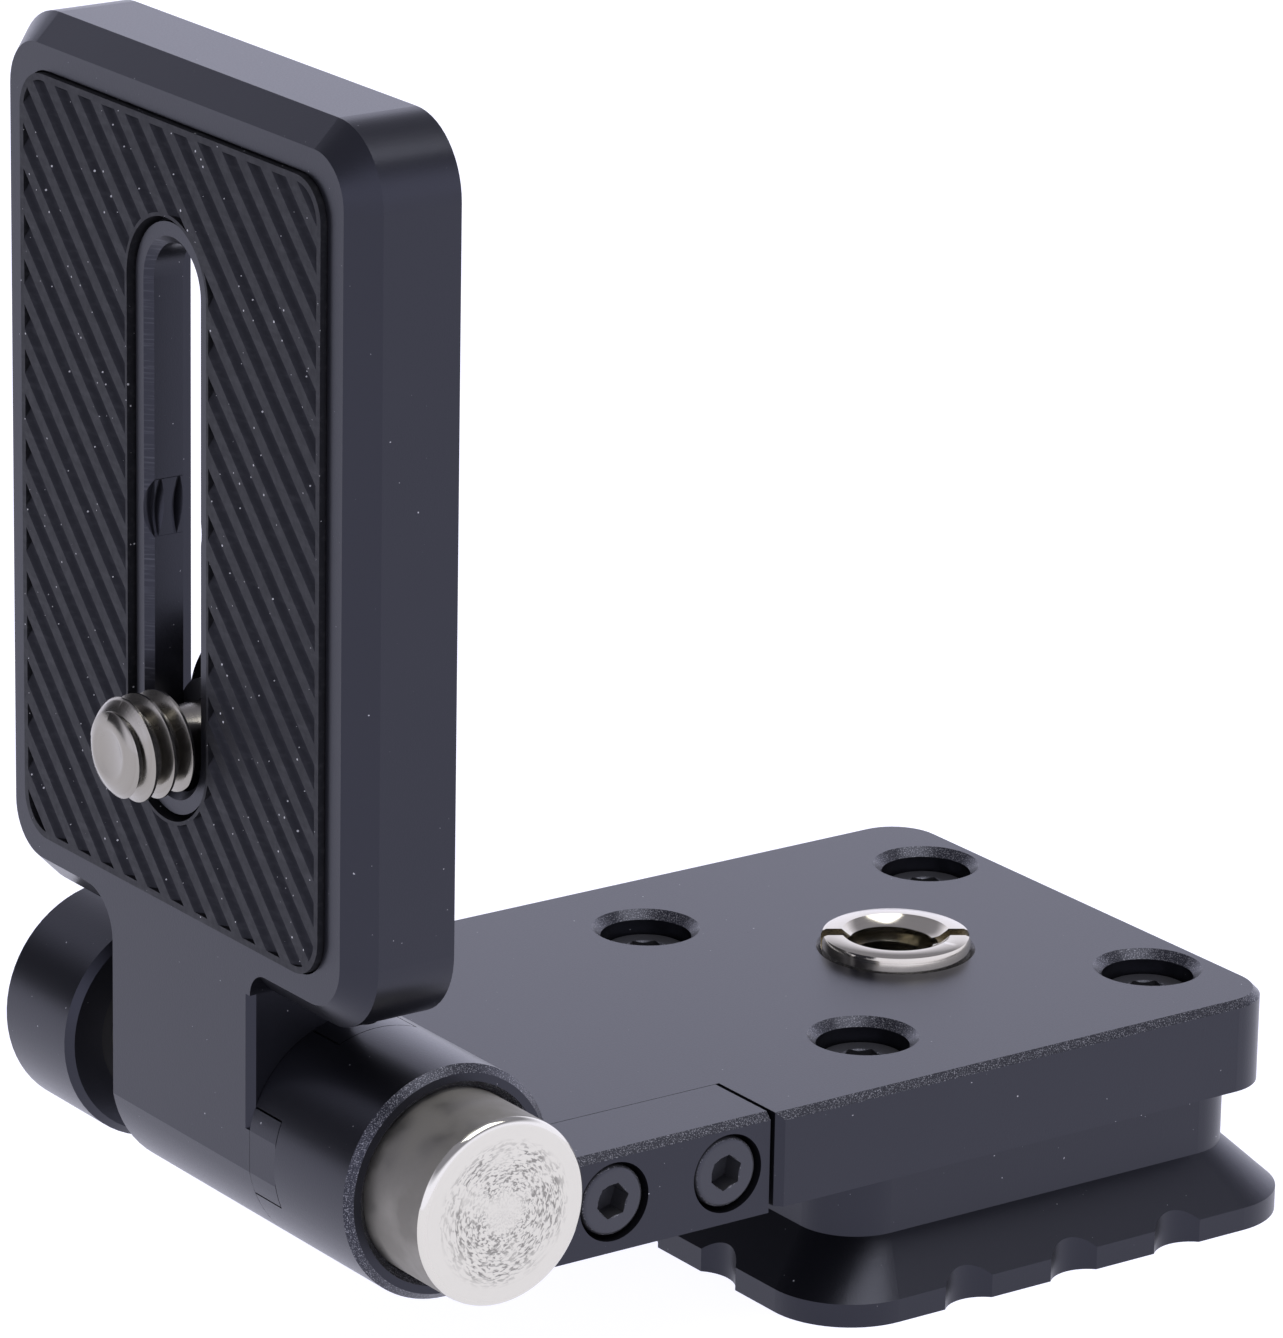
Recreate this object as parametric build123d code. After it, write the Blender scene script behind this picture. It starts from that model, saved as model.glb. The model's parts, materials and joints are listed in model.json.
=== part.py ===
from build123d import *
import math
import os

# Folding camera bracket: a bed plate on a square dovetail foot, and an upright
# camera plate that turns on a push-button hinge. All values are in millimetres.
#
# Origin: the middle of the foot's bottom face. +Z is up, +X runs along the bed
# away from the hinge, and the push button is on the -Y side.

# Driving dimensions -------------------------------------------------------

# Dovetail foot
foot_x = 38.0
foot_y = 39.0
foot_corner = 5.4
band_height = 1.5
flare = 3.0
neck_height = 5.05
neck_corner = 3.9
scallop_pitch = 8.2
scallop_radius = 2.55
scallop_depth = 0.75
foot_pocket_radius = 3.6
foot_pocket_depth = 4.0

# Bed plate
bed_thickness = 6.0
bed_half_width = 19.5
bed_corner = 3.5
edge_chamfer = 0.45
hole_pitch_x = 22.4
hole_pitch_y = 23.0
hole_offset_x = 0.4

# Hinge
axis_to_foot_centre = 46.3
axis_above_bed = 0.5
barrel_radius = 7.2
front_face_from_axis = 7.08
turning_gap = 0.35
far_knuckle_start = 11.8
near_knuckle_end = 19.0
tongue_near = 8.4
tongue_far = 6.8
button_radius = 5.75
button_proud = 5.45
button_travel = 3.2
button_rim = 0.5
pin_radius = 4.0
bush_wall = 0.8
thrust_washer_radius = 6.4
thrust_washer_thickness = 0.5
clip_thickness = 0.68
clip_radius = 5.7
pin_end = 14.8
spring_bore = 2.6
plug_radius = 5.5
plug_depth = 1.3
dowel_radius = 0.74
dowel_inset = 1.4
running_gap = 0.03
face_gap = 0.05

# Locking dogs
dog_length = 2.8
dog_half_angle = 23.2
slot_side_gap_angle = 1.2

# Hinge block's arm
arm_end = 23.0
arm_thickness = 5.65
arm_depth = 6.4
arm_screw_x = (11.65, 19.9)
arm_screw_radius = 1.25
arm_screw_head = 2.2
arm_screw_head_height = 2.5
arm_screw_length = 7.5
arm_screw_socket = 2.0
arm_recess_radius = 2.48
arm_recess_depth = 2.7

# Foot screws
foot_screw_radius = 1.49
foot_screw_head = 2.75
foot_screw_head_height = 3.0
foot_screw_length = 6.2
foot_screw_socket = 2.5
foot_screw_sunk = 1.4
foot_recess_radius = 2.9
foot_recess_rim = 0.55

# Upright camera plate, measured from the hinge axis
plate_thickness = 6.8
plate_bottom = 9.7
plate_top = 63.4
plate_corner = 4.6
plate_chamfer = 1.6
web_thickness = 2.4
slot_width = 5.3
slot_low = 22.5
slot_high = 50.3
channel_width = 17.6
channel_low = 23.6
channel_high = 49.5
near_fillet = 1.6
far_fillet = 2.9

# Rubber pad in its pocket
pad_half_width = 16.3
pad_low = 12.8
pad_high = 60.3
pad_corner = 2.6
pad_proud = 0.4
pocket_depth = 0.9
pocket_gap = 0.12
pad_slot_width = 8.6
lip_width = 7.9

# Camera screw, quarter inch
stud_radius = 3.175
shank_radius = 2.05
stud_tip = 4.4
stud_root = 0.45
screw_height = 23.0
collar_radius = 3.3
collar_length = 2.0
head_radius = 5.6
head_length = 1.75
head_slot = 1.4

# Thread adapter in the bed
adapter_radius = 4.75
adapter_proud = 1.0
adapter_thread_radius = 2.6
adapter_slot = 1.2
adapter_slot_angle = -32.6

# Derived places -----------------------------------------------------------

hinge_x = -axis_to_foot_centre
bed_bottom = band_height + flare + neck_height
bed_top = bed_bottom + bed_thickness
hinge_z = bed_top + axis_above_bed
bed_end = foot_x / 2 - flare
hole_centre_x = hole_offset_x
tongue_near_y = -tongue_near
near_end_y = -near_knuckle_end
arm_back_y = near_end_y + arm_thickness
dog_end_y = tongue_near_y - dog_length
button_end_y = near_end_y - button_proud
front_x = hinge_x - front_face_from_axis
back_x = front_x + plate_thickness
web_back_x = front_x + web_thickness
screw_z = hinge_z + screw_height
washer_y = tongue_far + running_gap
clip_y = washer_y + thrust_washer_thickness + 0.05


# Shapes used by several pieces --------------------------------------------

def block(x0, x1, y0, y1, z0, z1):
    """A box between two corners."""
    size = Box(x1 - x0, y1 - y0, z1 - z0)
    return Pos((x0 + x1) / 2, (y0 + y1) / 2, (z0 + z1) / 2) * size


def rod_x(radius, x0, x1, y, z):
    """A cylinder along X."""
    return Pos((x0 + x1) / 2, y, z) * Rot(0, 90, 0) * Cylinder(radius, x1 - x0)


def rod_y(radius, y0, y1, x=hinge_x, z=hinge_z):
    """A cylinder along Y, on the hinge axis unless a place is given."""
    return Pos(x, (y0 + y1) / 2, z) * Rot(90, 0, 0) * Cylinder(radius, y1 - y0)


def rod_z(radius, z0, z1, x, y):
    """A cylinder along Z."""
    return Pos(x, y, (z0 + z1) / 2) * Cylinder(radius, z1 - z0)


def ring_y(outer, inner, y0, y1):
    """A plain ring about the hinge axis."""
    return rod_y(outer, y0, y1) - rod_y(inner, y0 - 1, y1 + 1)


def cone_y(r0, r1, y0, y1, x=hinge_x, z=hinge_z):
    """A cone along Y whose radius is r0 at y0 and r1 at y1."""
    return Pos(x, (y0 + y1) / 2, z) * Rot(-90, 0, 0) * Cone(r0, r1, y1 - y0)


def cone_z(r0, r1, z0, z1, x, y):
    """A cone along Z whose radius is r0 at z0 and r1 at z1."""
    return Pos(x, y, (z0 + z1) / 2) * Cone(r0, r1, z1 - z0)


def long_hole(width, z0, z1, x0, x1):
    """A round-ended slot cut along X; z0 and z1 are the centres of its ends, from the axis."""
    radius = width / 2
    ends = rod_x(radius, x0, x1, 0, hinge_z + z0) + rod_x(radius, x0, x1, 0, hinge_z + z1)
    return ends + block(x0, x1, -radius, radius, hinge_z + z0, hinge_z + z1)


def plate_outline(half_width, z0, z1, corner, x0, x1):
    """A rounded rectangle in the plate's plane, made solid between x0 and x1."""
    slab = block(x0, x1, -half_width, half_width, hinge_z + z0, hinge_z + z1)
    return fillet(slab.edges().filter_by(Axis.X), corner)


def hex_socket(across_flats, depth):
    """A hexagonal recess, its mouth at z = 0 and its floor below."""
    outline = RegularPolygon(across_flats / 2, 6, major_radius=False)
    return extrude(outline, -depth)


def cap_screw(radius, head_radius, head_height, length, socket):
    """A socket-head cap screw standing on +Z with the top of its head at z = 0."""
    head = Pos(0, 0, -head_height / 2) * Cylinder(head_radius, head_height)
    head = chamfer(head.edges().group_by(Axis.Z)[-1], 0.25)
    shank = Pos(0, 0, -head_height - length / 2) * Cylinder(radius, length)
    return head + shank - hex_socket(socket, head_height * 0.5)


# The foot and the bed -----------------------------------------------------

def make_foot():
    """The square dovetail foot: scalloped band, flared sides and a narrower neck."""
    band = extrude(RectangleRounded(foot_x, foot_y, foot_corner), band_height)
    low = Pos(0, 0, band_height) * RectangleRounded(foot_x, foot_y, foot_corner)
    neck_size = (foot_x - 2 * flare, foot_y - 2 * flare, neck_corner)
    high = Pos(0, 0, band_height + flare) * RectangleRounded(*neck_size)
    sides = loft([low, high])
    neck = extrude(Pos(0, 0, band_height + flare) * RectangleRounded(*neck_size), neck_height)
    foot = band + sides + neck
    reach = scallop_radius - scallop_depth
    for step in (-1, 0, 1):
        along = step * scallop_pitch
        for side in (-1, 1):
            foot -= rod_z(scallop_radius, -1, band_height + flare, along, side * (foot_y / 2 + reach))
            foot -= rod_z(scallop_radius, -1, band_height + flare, side * (foot_x / 2 + reach), along)
    foot -= rod_z(foot_pocket_radius, bed_bottom - foot_pocket_depth, bed_bottom + 1,
                  hole_centre_x, 0)
    for x, y in foot_screw_places():
        foot -= rod_z(foot_screw_radius + 0.01, 2.0, bed_bottom + 1, x, y)
    return foot


def foot_screw_places():
    """Centres of the four screws that hold the foot."""
    xs = (hole_centre_x - hole_pitch_x / 2, hole_centre_x + hole_pitch_x / 2)
    ys = (-hole_pitch_y / 2, hole_pitch_y / 2)
    return [(x, y) for x in xs for y in ys]


def make_bed():
    """The bed plate with the far knuckle, a notch for the hinge block and its holes."""
    slab = block(hinge_x, bed_end, -bed_half_width, bed_half_width, bed_bottom, bed_top)
    slab = fillet(slab.edges().filter_by(Axis.Z).group_by(Axis.X)[-1], bed_corner)
    top = slab.faces().sort_by(Axis.Z)[-1]
    outer = [edge for edge in top.edges() if edge.center().X > hinge_x + 1]
    slab = chamfer(outer, edge_chamfer)
    notch_x = hinge_x + arm_end + face_gap * 6
    notch_y = arm_back_y + face_gap
    slab -= block(hinge_x - 1, notch_x, -bed_half_width - 1, notch_y, bed_bottom - 1, bed_top + 1)
    near_edge = [edge for edge in slab.edges().filter_by(Axis.Z)
                 if abs(edge.center().X - notch_x) < 0.01 and edge.center().Y < -bed_half_width + 1]
    slab = chamfer(near_edge, edge_chamfer)
    # The tongue and the near knuckle turn and slide in this clearance.
    slab -= rod_y(barrel_radius + turning_gap, -bed_half_width, far_knuckle_start)
    slab -= block(hinge_x - 1, hinge_x + 4.8, -bed_half_width, far_knuckle_start,
                  bed_bottom - 1, bed_top + 1)
    knuckle = rod_y(barrel_radius, far_knuckle_start, bed_half_width)
    knuckle = chamfer(knuckle.edges(), edge_chamfer)
    bed = slab + knuckle
    bed -= rod_y(pin_radius + bush_wall, far_knuckle_start - 1, bed_half_width - plug_depth)
    bed -= rod_y(plug_radius, bed_half_width - plug_depth, bed_half_width + 1)
    head_seat = bed_top - foot_screw_sunk - foot_screw_head_height
    for x, y in foot_screw_places():
        bed -= rod_z(foot_screw_radius + 0.2, bed_bottom - 1, bed_top, x, y)
        bed -= rod_z(foot_recess_radius, head_seat, bed_top + 1, x, y)
        bed -= cone_z(foot_recess_radius, foot_recess_radius + 2 * foot_recess_rim,
                      bed_top - foot_recess_rim, bed_top + foot_recess_rim, x, y)
    bed -= rod_z(adapter_radius + 0.01, bed_bottom - 1, bed_top + 1, hole_centre_x, 0)
    bed -= cone_z(adapter_radius, adapter_radius + 0.5, bed_top - 0.3, bed_top + 0.2,
                  hole_centre_x, 0)
    for along in arm_screw_x:
        bed -= rod_y(arm_screw_radius + 0.01, arm_back_y - 1, near_end_y + 13,
                     hinge_x + along, arm_middle_z())
    return bed


def arm_middle_z():
    """Height of the hinge block's two screws."""
    return bed_top - arm_depth / 2


def make_adapter():
    """Bushing with a coarse thread outside and a quarter-inch thread inside."""
    top = bed_top + adapter_proud
    body = rod_z(adapter_radius, bed_bottom + 0.2, top, hole_centre_x, 0)
    body = chamfer(body.edges().group_by(Axis.Z)[-1], 0.35)
    body -= rod_z(adapter_thread_radius, bed_bottom - 1, top + 1, hole_centre_x, 0)
    body -= cone_z(adapter_thread_radius, adapter_thread_radius + 1.0, top - 0.6, top + 0.4,
                   hole_centre_x, 0)
    cutter = Box(4 * adapter_radius, adapter_slot, 2.0)
    return body - Pos(hole_centre_x, 0, top) * Rot(0, 0, adapter_slot_angle) * cutter


def foot_screw(x, y):
    """One of the screws through the bed into the foot."""
    screw = cap_screw(foot_screw_radius, foot_screw_head, foot_screw_head_height,
                      foot_screw_length, foot_screw_socket)
    return Pos(x, y, bed_top - foot_screw_sunk) * screw


# The hinge ----------------------------------------------------------------

def dog_wedge(half_angle, centre, inner, outer, y0, y1):
    """One sector of a ring about the hinge axis; angles run from -X towards +Z."""
    reach = 2 * outer
    left = (reach * math.sin(math.radians(-half_angle)), reach)
    right = (reach * math.sin(math.radians(half_angle)), reach)
    tip = make_face(Polyline((0, 0), left, right, (0, 0)))
    wedge = extrude(tip, y1 - y0)
    # Stand the wedge on the hinge axis, pointing along -X at an angle of zero.
    turn = Rot(0, centre - 90, 0) * Rot(90, 0, 0)
    wedge = Pos(hinge_x, y1, hinge_z) * turn * wedge
    return wedge & ring_y(outer, inner, y0, y1)


def front_flat(y0, y1):
    """What the upright's flat front takes off a hinge barrel."""
    return block(front_x - 2, front_x, y0, y1, hinge_z - barrel_radius, hinge_z + barrel_radius)


def make_hinge_block():
    """Near knuckle with its bore and dog slots, and the arm that bolts to the bed."""
    inner_y = tongue_near_y - face_gap
    knuckle = rod_y(barrel_radius, near_end_y, inner_y)
    knuckle = chamfer(knuckle.edges().group_by(Axis.Y)[0], edge_chamfer)
    arm = block(hinge_x, hinge_x + arm_end, near_end_y, arm_back_y, bed_top - arm_depth, bed_top)
    near_top = arm.edges().filter_by(Axis.X).sort_by(lambda edge: edge.center().Z - edge.center().Y)
    arm = chamfer(near_top[-1], edge_chamfer)
    body = knuckle + arm
    body -= rod_y(button_radius + face_gap, near_end_y - 1, 0)
    body -= cone_y(button_radius + 0.75, button_radius, near_end_y - 0.25, near_end_y + 0.5)
    for quarter in range(4):
        body -= dog_wedge(dog_half_angle + slot_side_gap_angle, 90 * quarter,
                          button_radius - 1, barrel_radius + 1, dog_end_y - 0.06, inner_y + 1)
    for along in arm_screw_x:
        x, z = hinge_x + along, arm_middle_z()
        body -= rod_y(arm_screw_radius + 0.2, near_end_y, arm_back_y + 1, x, z)
        body -= rod_y(arm_recess_radius, near_end_y - 1, near_end_y + arm_recess_depth, x, z)
    return body


def arm_screw(along):
    """One of the two screws through the hinge block's arm into the bed."""
    screw = cap_screw(arm_screw_radius, arm_screw_head, arm_screw_head_height,
                      arm_screw_length, arm_screw_socket)
    return Pos(hinge_x + along, near_end_y + 0.15, arm_middle_z()) * Rot(90, 0, 0) * screw


def make_push_pin():
    """Steel button and hinge pin in one turned piece, hollow at the spring's end."""
    button = rod_y(button_radius, button_end_y, dog_end_y - 0.02)
    button = chamfer(button.edges().group_by(Axis.Y)[0], button_rim)
    shaft = rod_y(pin_radius, dog_end_y - 0.02, pin_end)
    body = button + shaft - rod_y(spring_bore, 4.0, pin_end + 1)
    return body - ring_y(pin_radius + 1, pin_radius - 0.5, clip_y - 0.02,
                         clip_y + clip_thickness + 0.02)


def make_dog_ring():
    """Four locking dogs round a hub that is pinned to the push pin."""
    hub = ring_y(button_radius - 0.1, pin_radius, dog_end_y, tongue_near_y - running_gap)
    for quarter in range(4):
        hub += dog_wedge(dog_half_angle, 90 * quarter, button_radius - 0.8,
                         barrel_radius, dog_end_y, tongue_near_y - running_gap)
    hub -= front_flat(dog_end_y - 1, tongue_near_y)
    return hub - rod_z(dowel_radius + 0.01, hinge_z - 9, hinge_z + 9, hinge_x,
                       dog_end_y + dowel_inset)


def dowel(z0, z1):
    """One end of the cross pin that ties the dog ring to the push pin."""
    return rod_z(dowel_radius, hinge_z + z0, hinge_z + z1, hinge_x, dog_end_y + dowel_inset)


def make_retaining_clip():
    """Open spring clip in the push pin's groove."""
    clip = ring_y(clip_radius, pin_radius - 0.5, clip_y, clip_y + clip_thickness)
    mouth = block(hinge_x - 2.4, hinge_x + 2.4, 0, 20, hinge_z - 9, hinge_z)
    return clip - mouth


def make_return_spring():
    """Compression spring inside the push pin, resting on the far plug."""
    wire, start, end = 0.28, 4.3, bed_half_width - 1.6
    path = Helix(pitch=1.9, height=end - start, radius=2.2, direction=(0, 1, 0),
                 center=(hinge_x, start, hinge_z))
    section = Plane(origin=path @ 0, z_dir=path % 0) * Circle(wire)
    return sweep(section, path=path, is_frenet=True)


def make_spring_plug():
    """Slotted plug that closes the far knuckle and backs the spring."""
    plug = rod_y(plug_radius - 0.01, bed_half_width - plug_depth + 0.02, bed_half_width - 0.1)
    slot = block(hinge_x - 4, hinge_x + 4, bed_half_width - 0.7, bed_half_width + 1,
                 hinge_z - 0.5, hinge_z + 0.5)
    return plug - slot


# The upright --------------------------------------------------------------

def make_upright():
    """Camera plate with its pad pocket, slot, back channel, and the hinge tongue."""
    plate = plate_outline(bed_half_width, plate_bottom, plate_top, plate_corner, front_x, back_x)
    plate = chamfer(plate.faces().sort_by(Axis.X)[0].edges(), plate_chamfer)
    pocket = plate_outline(pad_half_width, pad_low, pad_high, pad_corner,
                           front_x - 1, front_x + pocket_depth)
    pocket -= long_hole(lip_width, slot_low, slot_high, front_x - 2, front_x + pocket_depth + 1)
    plate -= pocket
    neck_top = hinge_z + plate_bottom + plate_chamfer
    neck_low = neck_top - far_fillet
    tongue = block(front_x, back_x, tongue_near_y, tongue_far, hinge_z, neck_top)
    neck = block(front_x, back_x, tongue_near_y - near_fillet, tongue_far + far_fillet,
                 neck_low, neck_top)
    for y, radius, side in ((tongue_near_y, near_fillet, -1), (tongue_far, far_fillet, 1)):
        centre_y = y + side * radius
        neck -= rod_x(radius, front_x - 1, back_x + 1, centre_y, neck_top - radius)
        neck -= block(front_x - 1, back_x + 1, min(y, centre_y), max(y, centre_y),
                      neck_low - 1, neck_top - radius)
    barrel = rod_y(barrel_radius, tongue_near_y, tongue_far)
    barrel -= front_flat(tongue_near_y - 1, tongue_far + 1)
    body = plate + tongue + neck + barrel
    body -= tongue_edge(neck_top - near_fillet)
    body -= rod_y(pin_radius + bush_wall, tongue_near_y - 1, tongue_far + 1)
    body -= long_hole(slot_width, slot_low, slot_high, front_x - 1, back_x + 1)
    body -= slot_bevel()
    body -= long_hole(channel_width, channel_low, channel_high, web_back_x, back_x + 1)
    middle = hinge_z + (slot_low + slot_high) / 2
    return body - rod_x(stud_radius, front_x - 1, web_back_x + 1, 0, middle)


def tongue_edge(top):
    """The cut that bevels the tongue's front edge on the button's side."""
    inner = (front_x, tongue_near_y + edge_chamfer)
    outer = (front_x + edge_chamfer, tongue_near_y)
    corner = (front_x - 1, tongue_near_y - 1)
    side = make_face(Polyline(inner, outer, corner, close=True))
    low = hinge_z + math.sqrt(barrel_radius ** 2 - front_face_from_axis ** 2)
    return Pos(0, 0, low) * extrude(side, top - low)


def slot_bevel():
    """The 45 degree bevel round the slot's front edge."""
    radius = slot_width / 2
    wide = radius + edge_chamfer
    ends = []
    for z in (slot_low, slot_high):
        cone = Cone(wide, radius, edge_chamfer)
        ends.append(Pos(front_x + edge_chamfer / 2, 0, hinge_z + z) * Rot(0, 90, 0) * cone)
    side = Polyline((front_x, wide), (front_x + edge_chamfer, radius),
                    (front_x + edge_chamfer, -radius), (front_x, -wide), close=True)
    run = extrude(make_face(side), slot_high - slot_low)
    return ends[0] + ends[1] + Pos(0, 0, hinge_z + slot_low) * run


def make_pad():
    """Rubber pad that fills the pocket and stands a little proud of the plate."""
    gap = pocket_gap
    pad = plate_outline(pad_half_width - gap, pad_low + gap, pad_high - gap, pad_corner - gap,
                        front_x - pad_proud, front_x + pocket_depth)
    return pad - long_hole(pad_slot_width, slot_low, slot_high, front_x - 3, front_x + 3)


def make_camera_screw():
    """Quarter-inch stud, waisted shank and slotted head, in one turned piece."""
    tip_x = front_x - stud_tip
    stud = rod_x(stud_radius, tip_x, front_x - stud_root, 0, screw_z)
    stud = chamfer(stud.edges().group_by(Axis.X)[0], 0.7)
    collar_end = web_back_x + face_gap + collar_length
    shank = rod_x(shank_radius, front_x - stud_root, collar_end + 0.5, 0, screw_z)
    head = rod_x(head_radius, collar_end + 0.02, collar_end + 0.02 + head_length, 0, screw_z)
    head = chamfer(head.edges().group_by(Axis.X)[-1], 0.35)
    slot = block(collar_end + 0.9, back_x + 1, -8, 8, screw_z - head_slot / 2,
                 screw_z + head_slot / 2)
    return stud + shank + head - slot


def make_screw_collar():
    """Black washer between the web and the camera screw's head."""
    x0 = web_back_x + face_gap
    ring = rod_x(collar_radius, x0, x0 + collar_length, 0, screw_z)
    return ring - rod_x(shank_radius + face_gap, x0 - 1, x0 + collar_length + 1, 0, screw_z)


# Output -------------------------------------------------------------------

def all_parts():
    """Every separate piece, by the name of its node."""
    bush_outer = pin_radius + bush_wall
    bush_inner = pin_radius + running_gap
    parts = {
        "foot_plate": make_foot(),
        "bed_plate": make_bed(),
        "hinge_block": make_hinge_block(),
        "adapter_bushing": make_adapter(),
        "spring_plug": make_spring_plug(),
        "far_knuckle_bush": ring_y(bush_outer, bush_inner, far_knuckle_start + 0.1, 18.1),
        "push_pin": make_push_pin(),
        "dog_ring": make_dog_ring(),
        "dog_ring_dowel": dowel(-5.4, -pin_radius) + dowel(pin_radius, 5.4),
        "thrust_washer": ring_y(thrust_washer_radius, pin_radius, washer_y,
                                washer_y + thrust_washer_thickness),
        "retaining_clip": make_retaining_clip(),
        "return_spring": make_return_spring(),
        "upright_plate": make_upright(),
        "rubber_pad": make_pad(),
        "tongue_bush_near": ring_y(bush_outer, bush_inner, tongue_near_y + 0.05, -3.4),
        "tongue_bush_far": ring_y(bush_outer, bush_inner, 1.8, tongue_far - 0.05),
        "camera_screw": make_camera_screw(),
        "screw_collar": make_screw_collar(),
    }
    for name, along in zip(("inner", "outer"), arm_screw_x):
        parts["arm_screw_" + name] = arm_screw(along)
    for number, (x, y) in enumerate(foot_screw_places(), start=1):
        parts["foot_screw_" + str(number)] = foot_screw(x, y)
    return parts


os.makedirs("parts", exist_ok=True)
for node, shape in all_parts().items():
    export_step(shape, "parts/" + node + ".step")
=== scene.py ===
import json
import math

import bmesh
import bpy
from mathutils import Matrix, Vector

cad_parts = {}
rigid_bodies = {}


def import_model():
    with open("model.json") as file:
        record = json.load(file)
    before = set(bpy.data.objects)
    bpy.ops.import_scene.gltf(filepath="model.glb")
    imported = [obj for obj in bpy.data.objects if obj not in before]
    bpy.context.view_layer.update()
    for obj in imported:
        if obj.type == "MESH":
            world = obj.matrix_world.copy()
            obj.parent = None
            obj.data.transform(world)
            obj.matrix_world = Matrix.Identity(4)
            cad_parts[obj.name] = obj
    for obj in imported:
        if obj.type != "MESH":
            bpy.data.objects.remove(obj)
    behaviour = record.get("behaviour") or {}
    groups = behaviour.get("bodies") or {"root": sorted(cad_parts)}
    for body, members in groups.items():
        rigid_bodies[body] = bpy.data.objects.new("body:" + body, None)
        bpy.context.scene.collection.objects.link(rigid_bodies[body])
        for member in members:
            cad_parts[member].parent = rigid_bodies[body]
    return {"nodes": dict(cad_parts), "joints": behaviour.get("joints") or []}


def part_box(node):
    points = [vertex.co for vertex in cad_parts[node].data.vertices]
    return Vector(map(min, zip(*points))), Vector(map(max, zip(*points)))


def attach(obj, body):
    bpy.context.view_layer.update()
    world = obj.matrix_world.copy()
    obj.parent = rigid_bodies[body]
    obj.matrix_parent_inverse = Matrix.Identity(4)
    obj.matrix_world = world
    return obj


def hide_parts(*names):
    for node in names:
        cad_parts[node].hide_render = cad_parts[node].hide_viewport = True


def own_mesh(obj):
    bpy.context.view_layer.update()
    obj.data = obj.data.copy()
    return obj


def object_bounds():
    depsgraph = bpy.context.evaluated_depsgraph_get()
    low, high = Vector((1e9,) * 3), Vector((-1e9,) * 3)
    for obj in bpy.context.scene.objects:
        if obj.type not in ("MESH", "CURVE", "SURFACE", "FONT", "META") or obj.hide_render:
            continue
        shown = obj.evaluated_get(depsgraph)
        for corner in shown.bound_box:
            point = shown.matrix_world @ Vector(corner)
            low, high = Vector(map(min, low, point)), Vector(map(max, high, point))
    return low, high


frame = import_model()
cad_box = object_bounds()

# Floor, lamps and camera -----------------------------------------------------
# A seamless pale table top inside a white tent: bright walls low down, a dimmer
# ceiling, one darker side, and one soft lamp above.

floor_size = 6.0
floor_mesh = bmesh.new()
bmesh.ops.create_grid(floor_mesh, x_segments=1, y_segments=1, size=floor_size / 2)
table_top = bpy.data.objects.new("table_top", bpy.data.meshes.new("table_top"))
floor_mesh.to_mesh(table_top.data)
floor_mesh.free()
bpy.context.scene.collection.objects.link(table_top)
table_top.location.z = cad_box[0][2]


def table_paper():
    """Matt white studio paper."""
    material = bpy.data.materials.new("table_paper")
    material.use_nodes = True
    nodes = material.node_tree.nodes
    paper = nodes["Principled BSDF"]
    paper.label = "White paper"
    paper.inputs["Base Color"].default_value = (0.22, 0.22, 0.22, 1)
    paper.inputs["Roughness"].default_value = 0.9
    paper.inputs["Specular IOR Level"].default_value = 0.1
    paper.inputs["Emission Color"].default_value = (1, 1, 1.17, 1)
    paper.inputs["Emission Strength"].default_value = 0.95
    return material


table_top.data.materials.append(table_paper())


def lay_out(nodes):
    """Sets nodes out in rows, a row to each frame, in the order they were made."""
    frames = [node for node in nodes if node.type == "FRAME"]
    for row, group in enumerate([None] + frames):
        members = [node for node in nodes if node.parent == group and node.type != "FRAME"]
        for column, node in enumerate(members):
            node.location = (220 * column, 0)
        if group:
            group.location = (0, -400 * row)


tent = bpy.data.worlds.new("white_tent")
tent.use_nodes = True
tent_nodes = tent.node_tree.nodes
tent_links = tent.node_tree.links
tent_nodes.clear()
direction = tent_nodes.new("ShaderNodeTexCoord")
direction.label = "Direction in the tent"
height = tent_nodes.new("ShaderNodeSeparateXYZ")
height.label = "Height"
falloff = tent_nodes.new("ShaderNodeValToRGB")
falloff.label = "Bright walls, dimmer ceiling"
falloff.color_ramp.elements[0].position = 0.36
falloff.color_ramp.elements[0].color = (1.34, 1.35, 1.64, 1)
falloff.color_ramp.elements[1].position = 0.62
falloff.color_ramp.elements[1].color = (0.34, 0.34, 0.42, 1)
dark_side = tent_nodes.new("ShaderNodeVectorMath")
dark_side.label = "Towards the dark side of the room"
dark_side.operation = "DOT_PRODUCT"
dark_side.inputs[1].default_value = (-0.62, 0.78, 0.05)
shade = tent_nodes.new("ShaderNodeMapRange")
shade.label = "Soft edge of the dark side"
shade.inputs["From Min"].default_value = 0.80
shade.inputs["From Max"].default_value = 0.93
shade.inputs["To Min"].default_value = 1.0
shade.inputs["To Max"].default_value = 0.04
tent_light = tent_nodes.new("ShaderNodeBackground")
tent_light.label = "Tent light"
tent_out = tent_nodes.new("ShaderNodeOutputWorld")
tent_out.label = "World"
tent_links.new(direction.outputs["Generated"], height.inputs["Vector"])
tent_links.new(height.outputs["Z"], falloff.inputs["Fac"])
tent_links.new(falloff.outputs["Color"], tent_light.inputs["Color"])
tent_links.new(direction.outputs["Generated"], dark_side.inputs[0])
tent_links.new(dark_side.outputs["Value"], shade.inputs["Value"])
tent_links.new(shade.outputs["Result"], tent_light.inputs["Strength"])
tent_links.new(tent_light.outputs["Background"], tent_out.inputs["Surface"])
lay_out(tent_nodes)
bpy.context.scene.world = tent
bpy.context.scene.view_settings.view_transform = "Standard"


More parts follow.
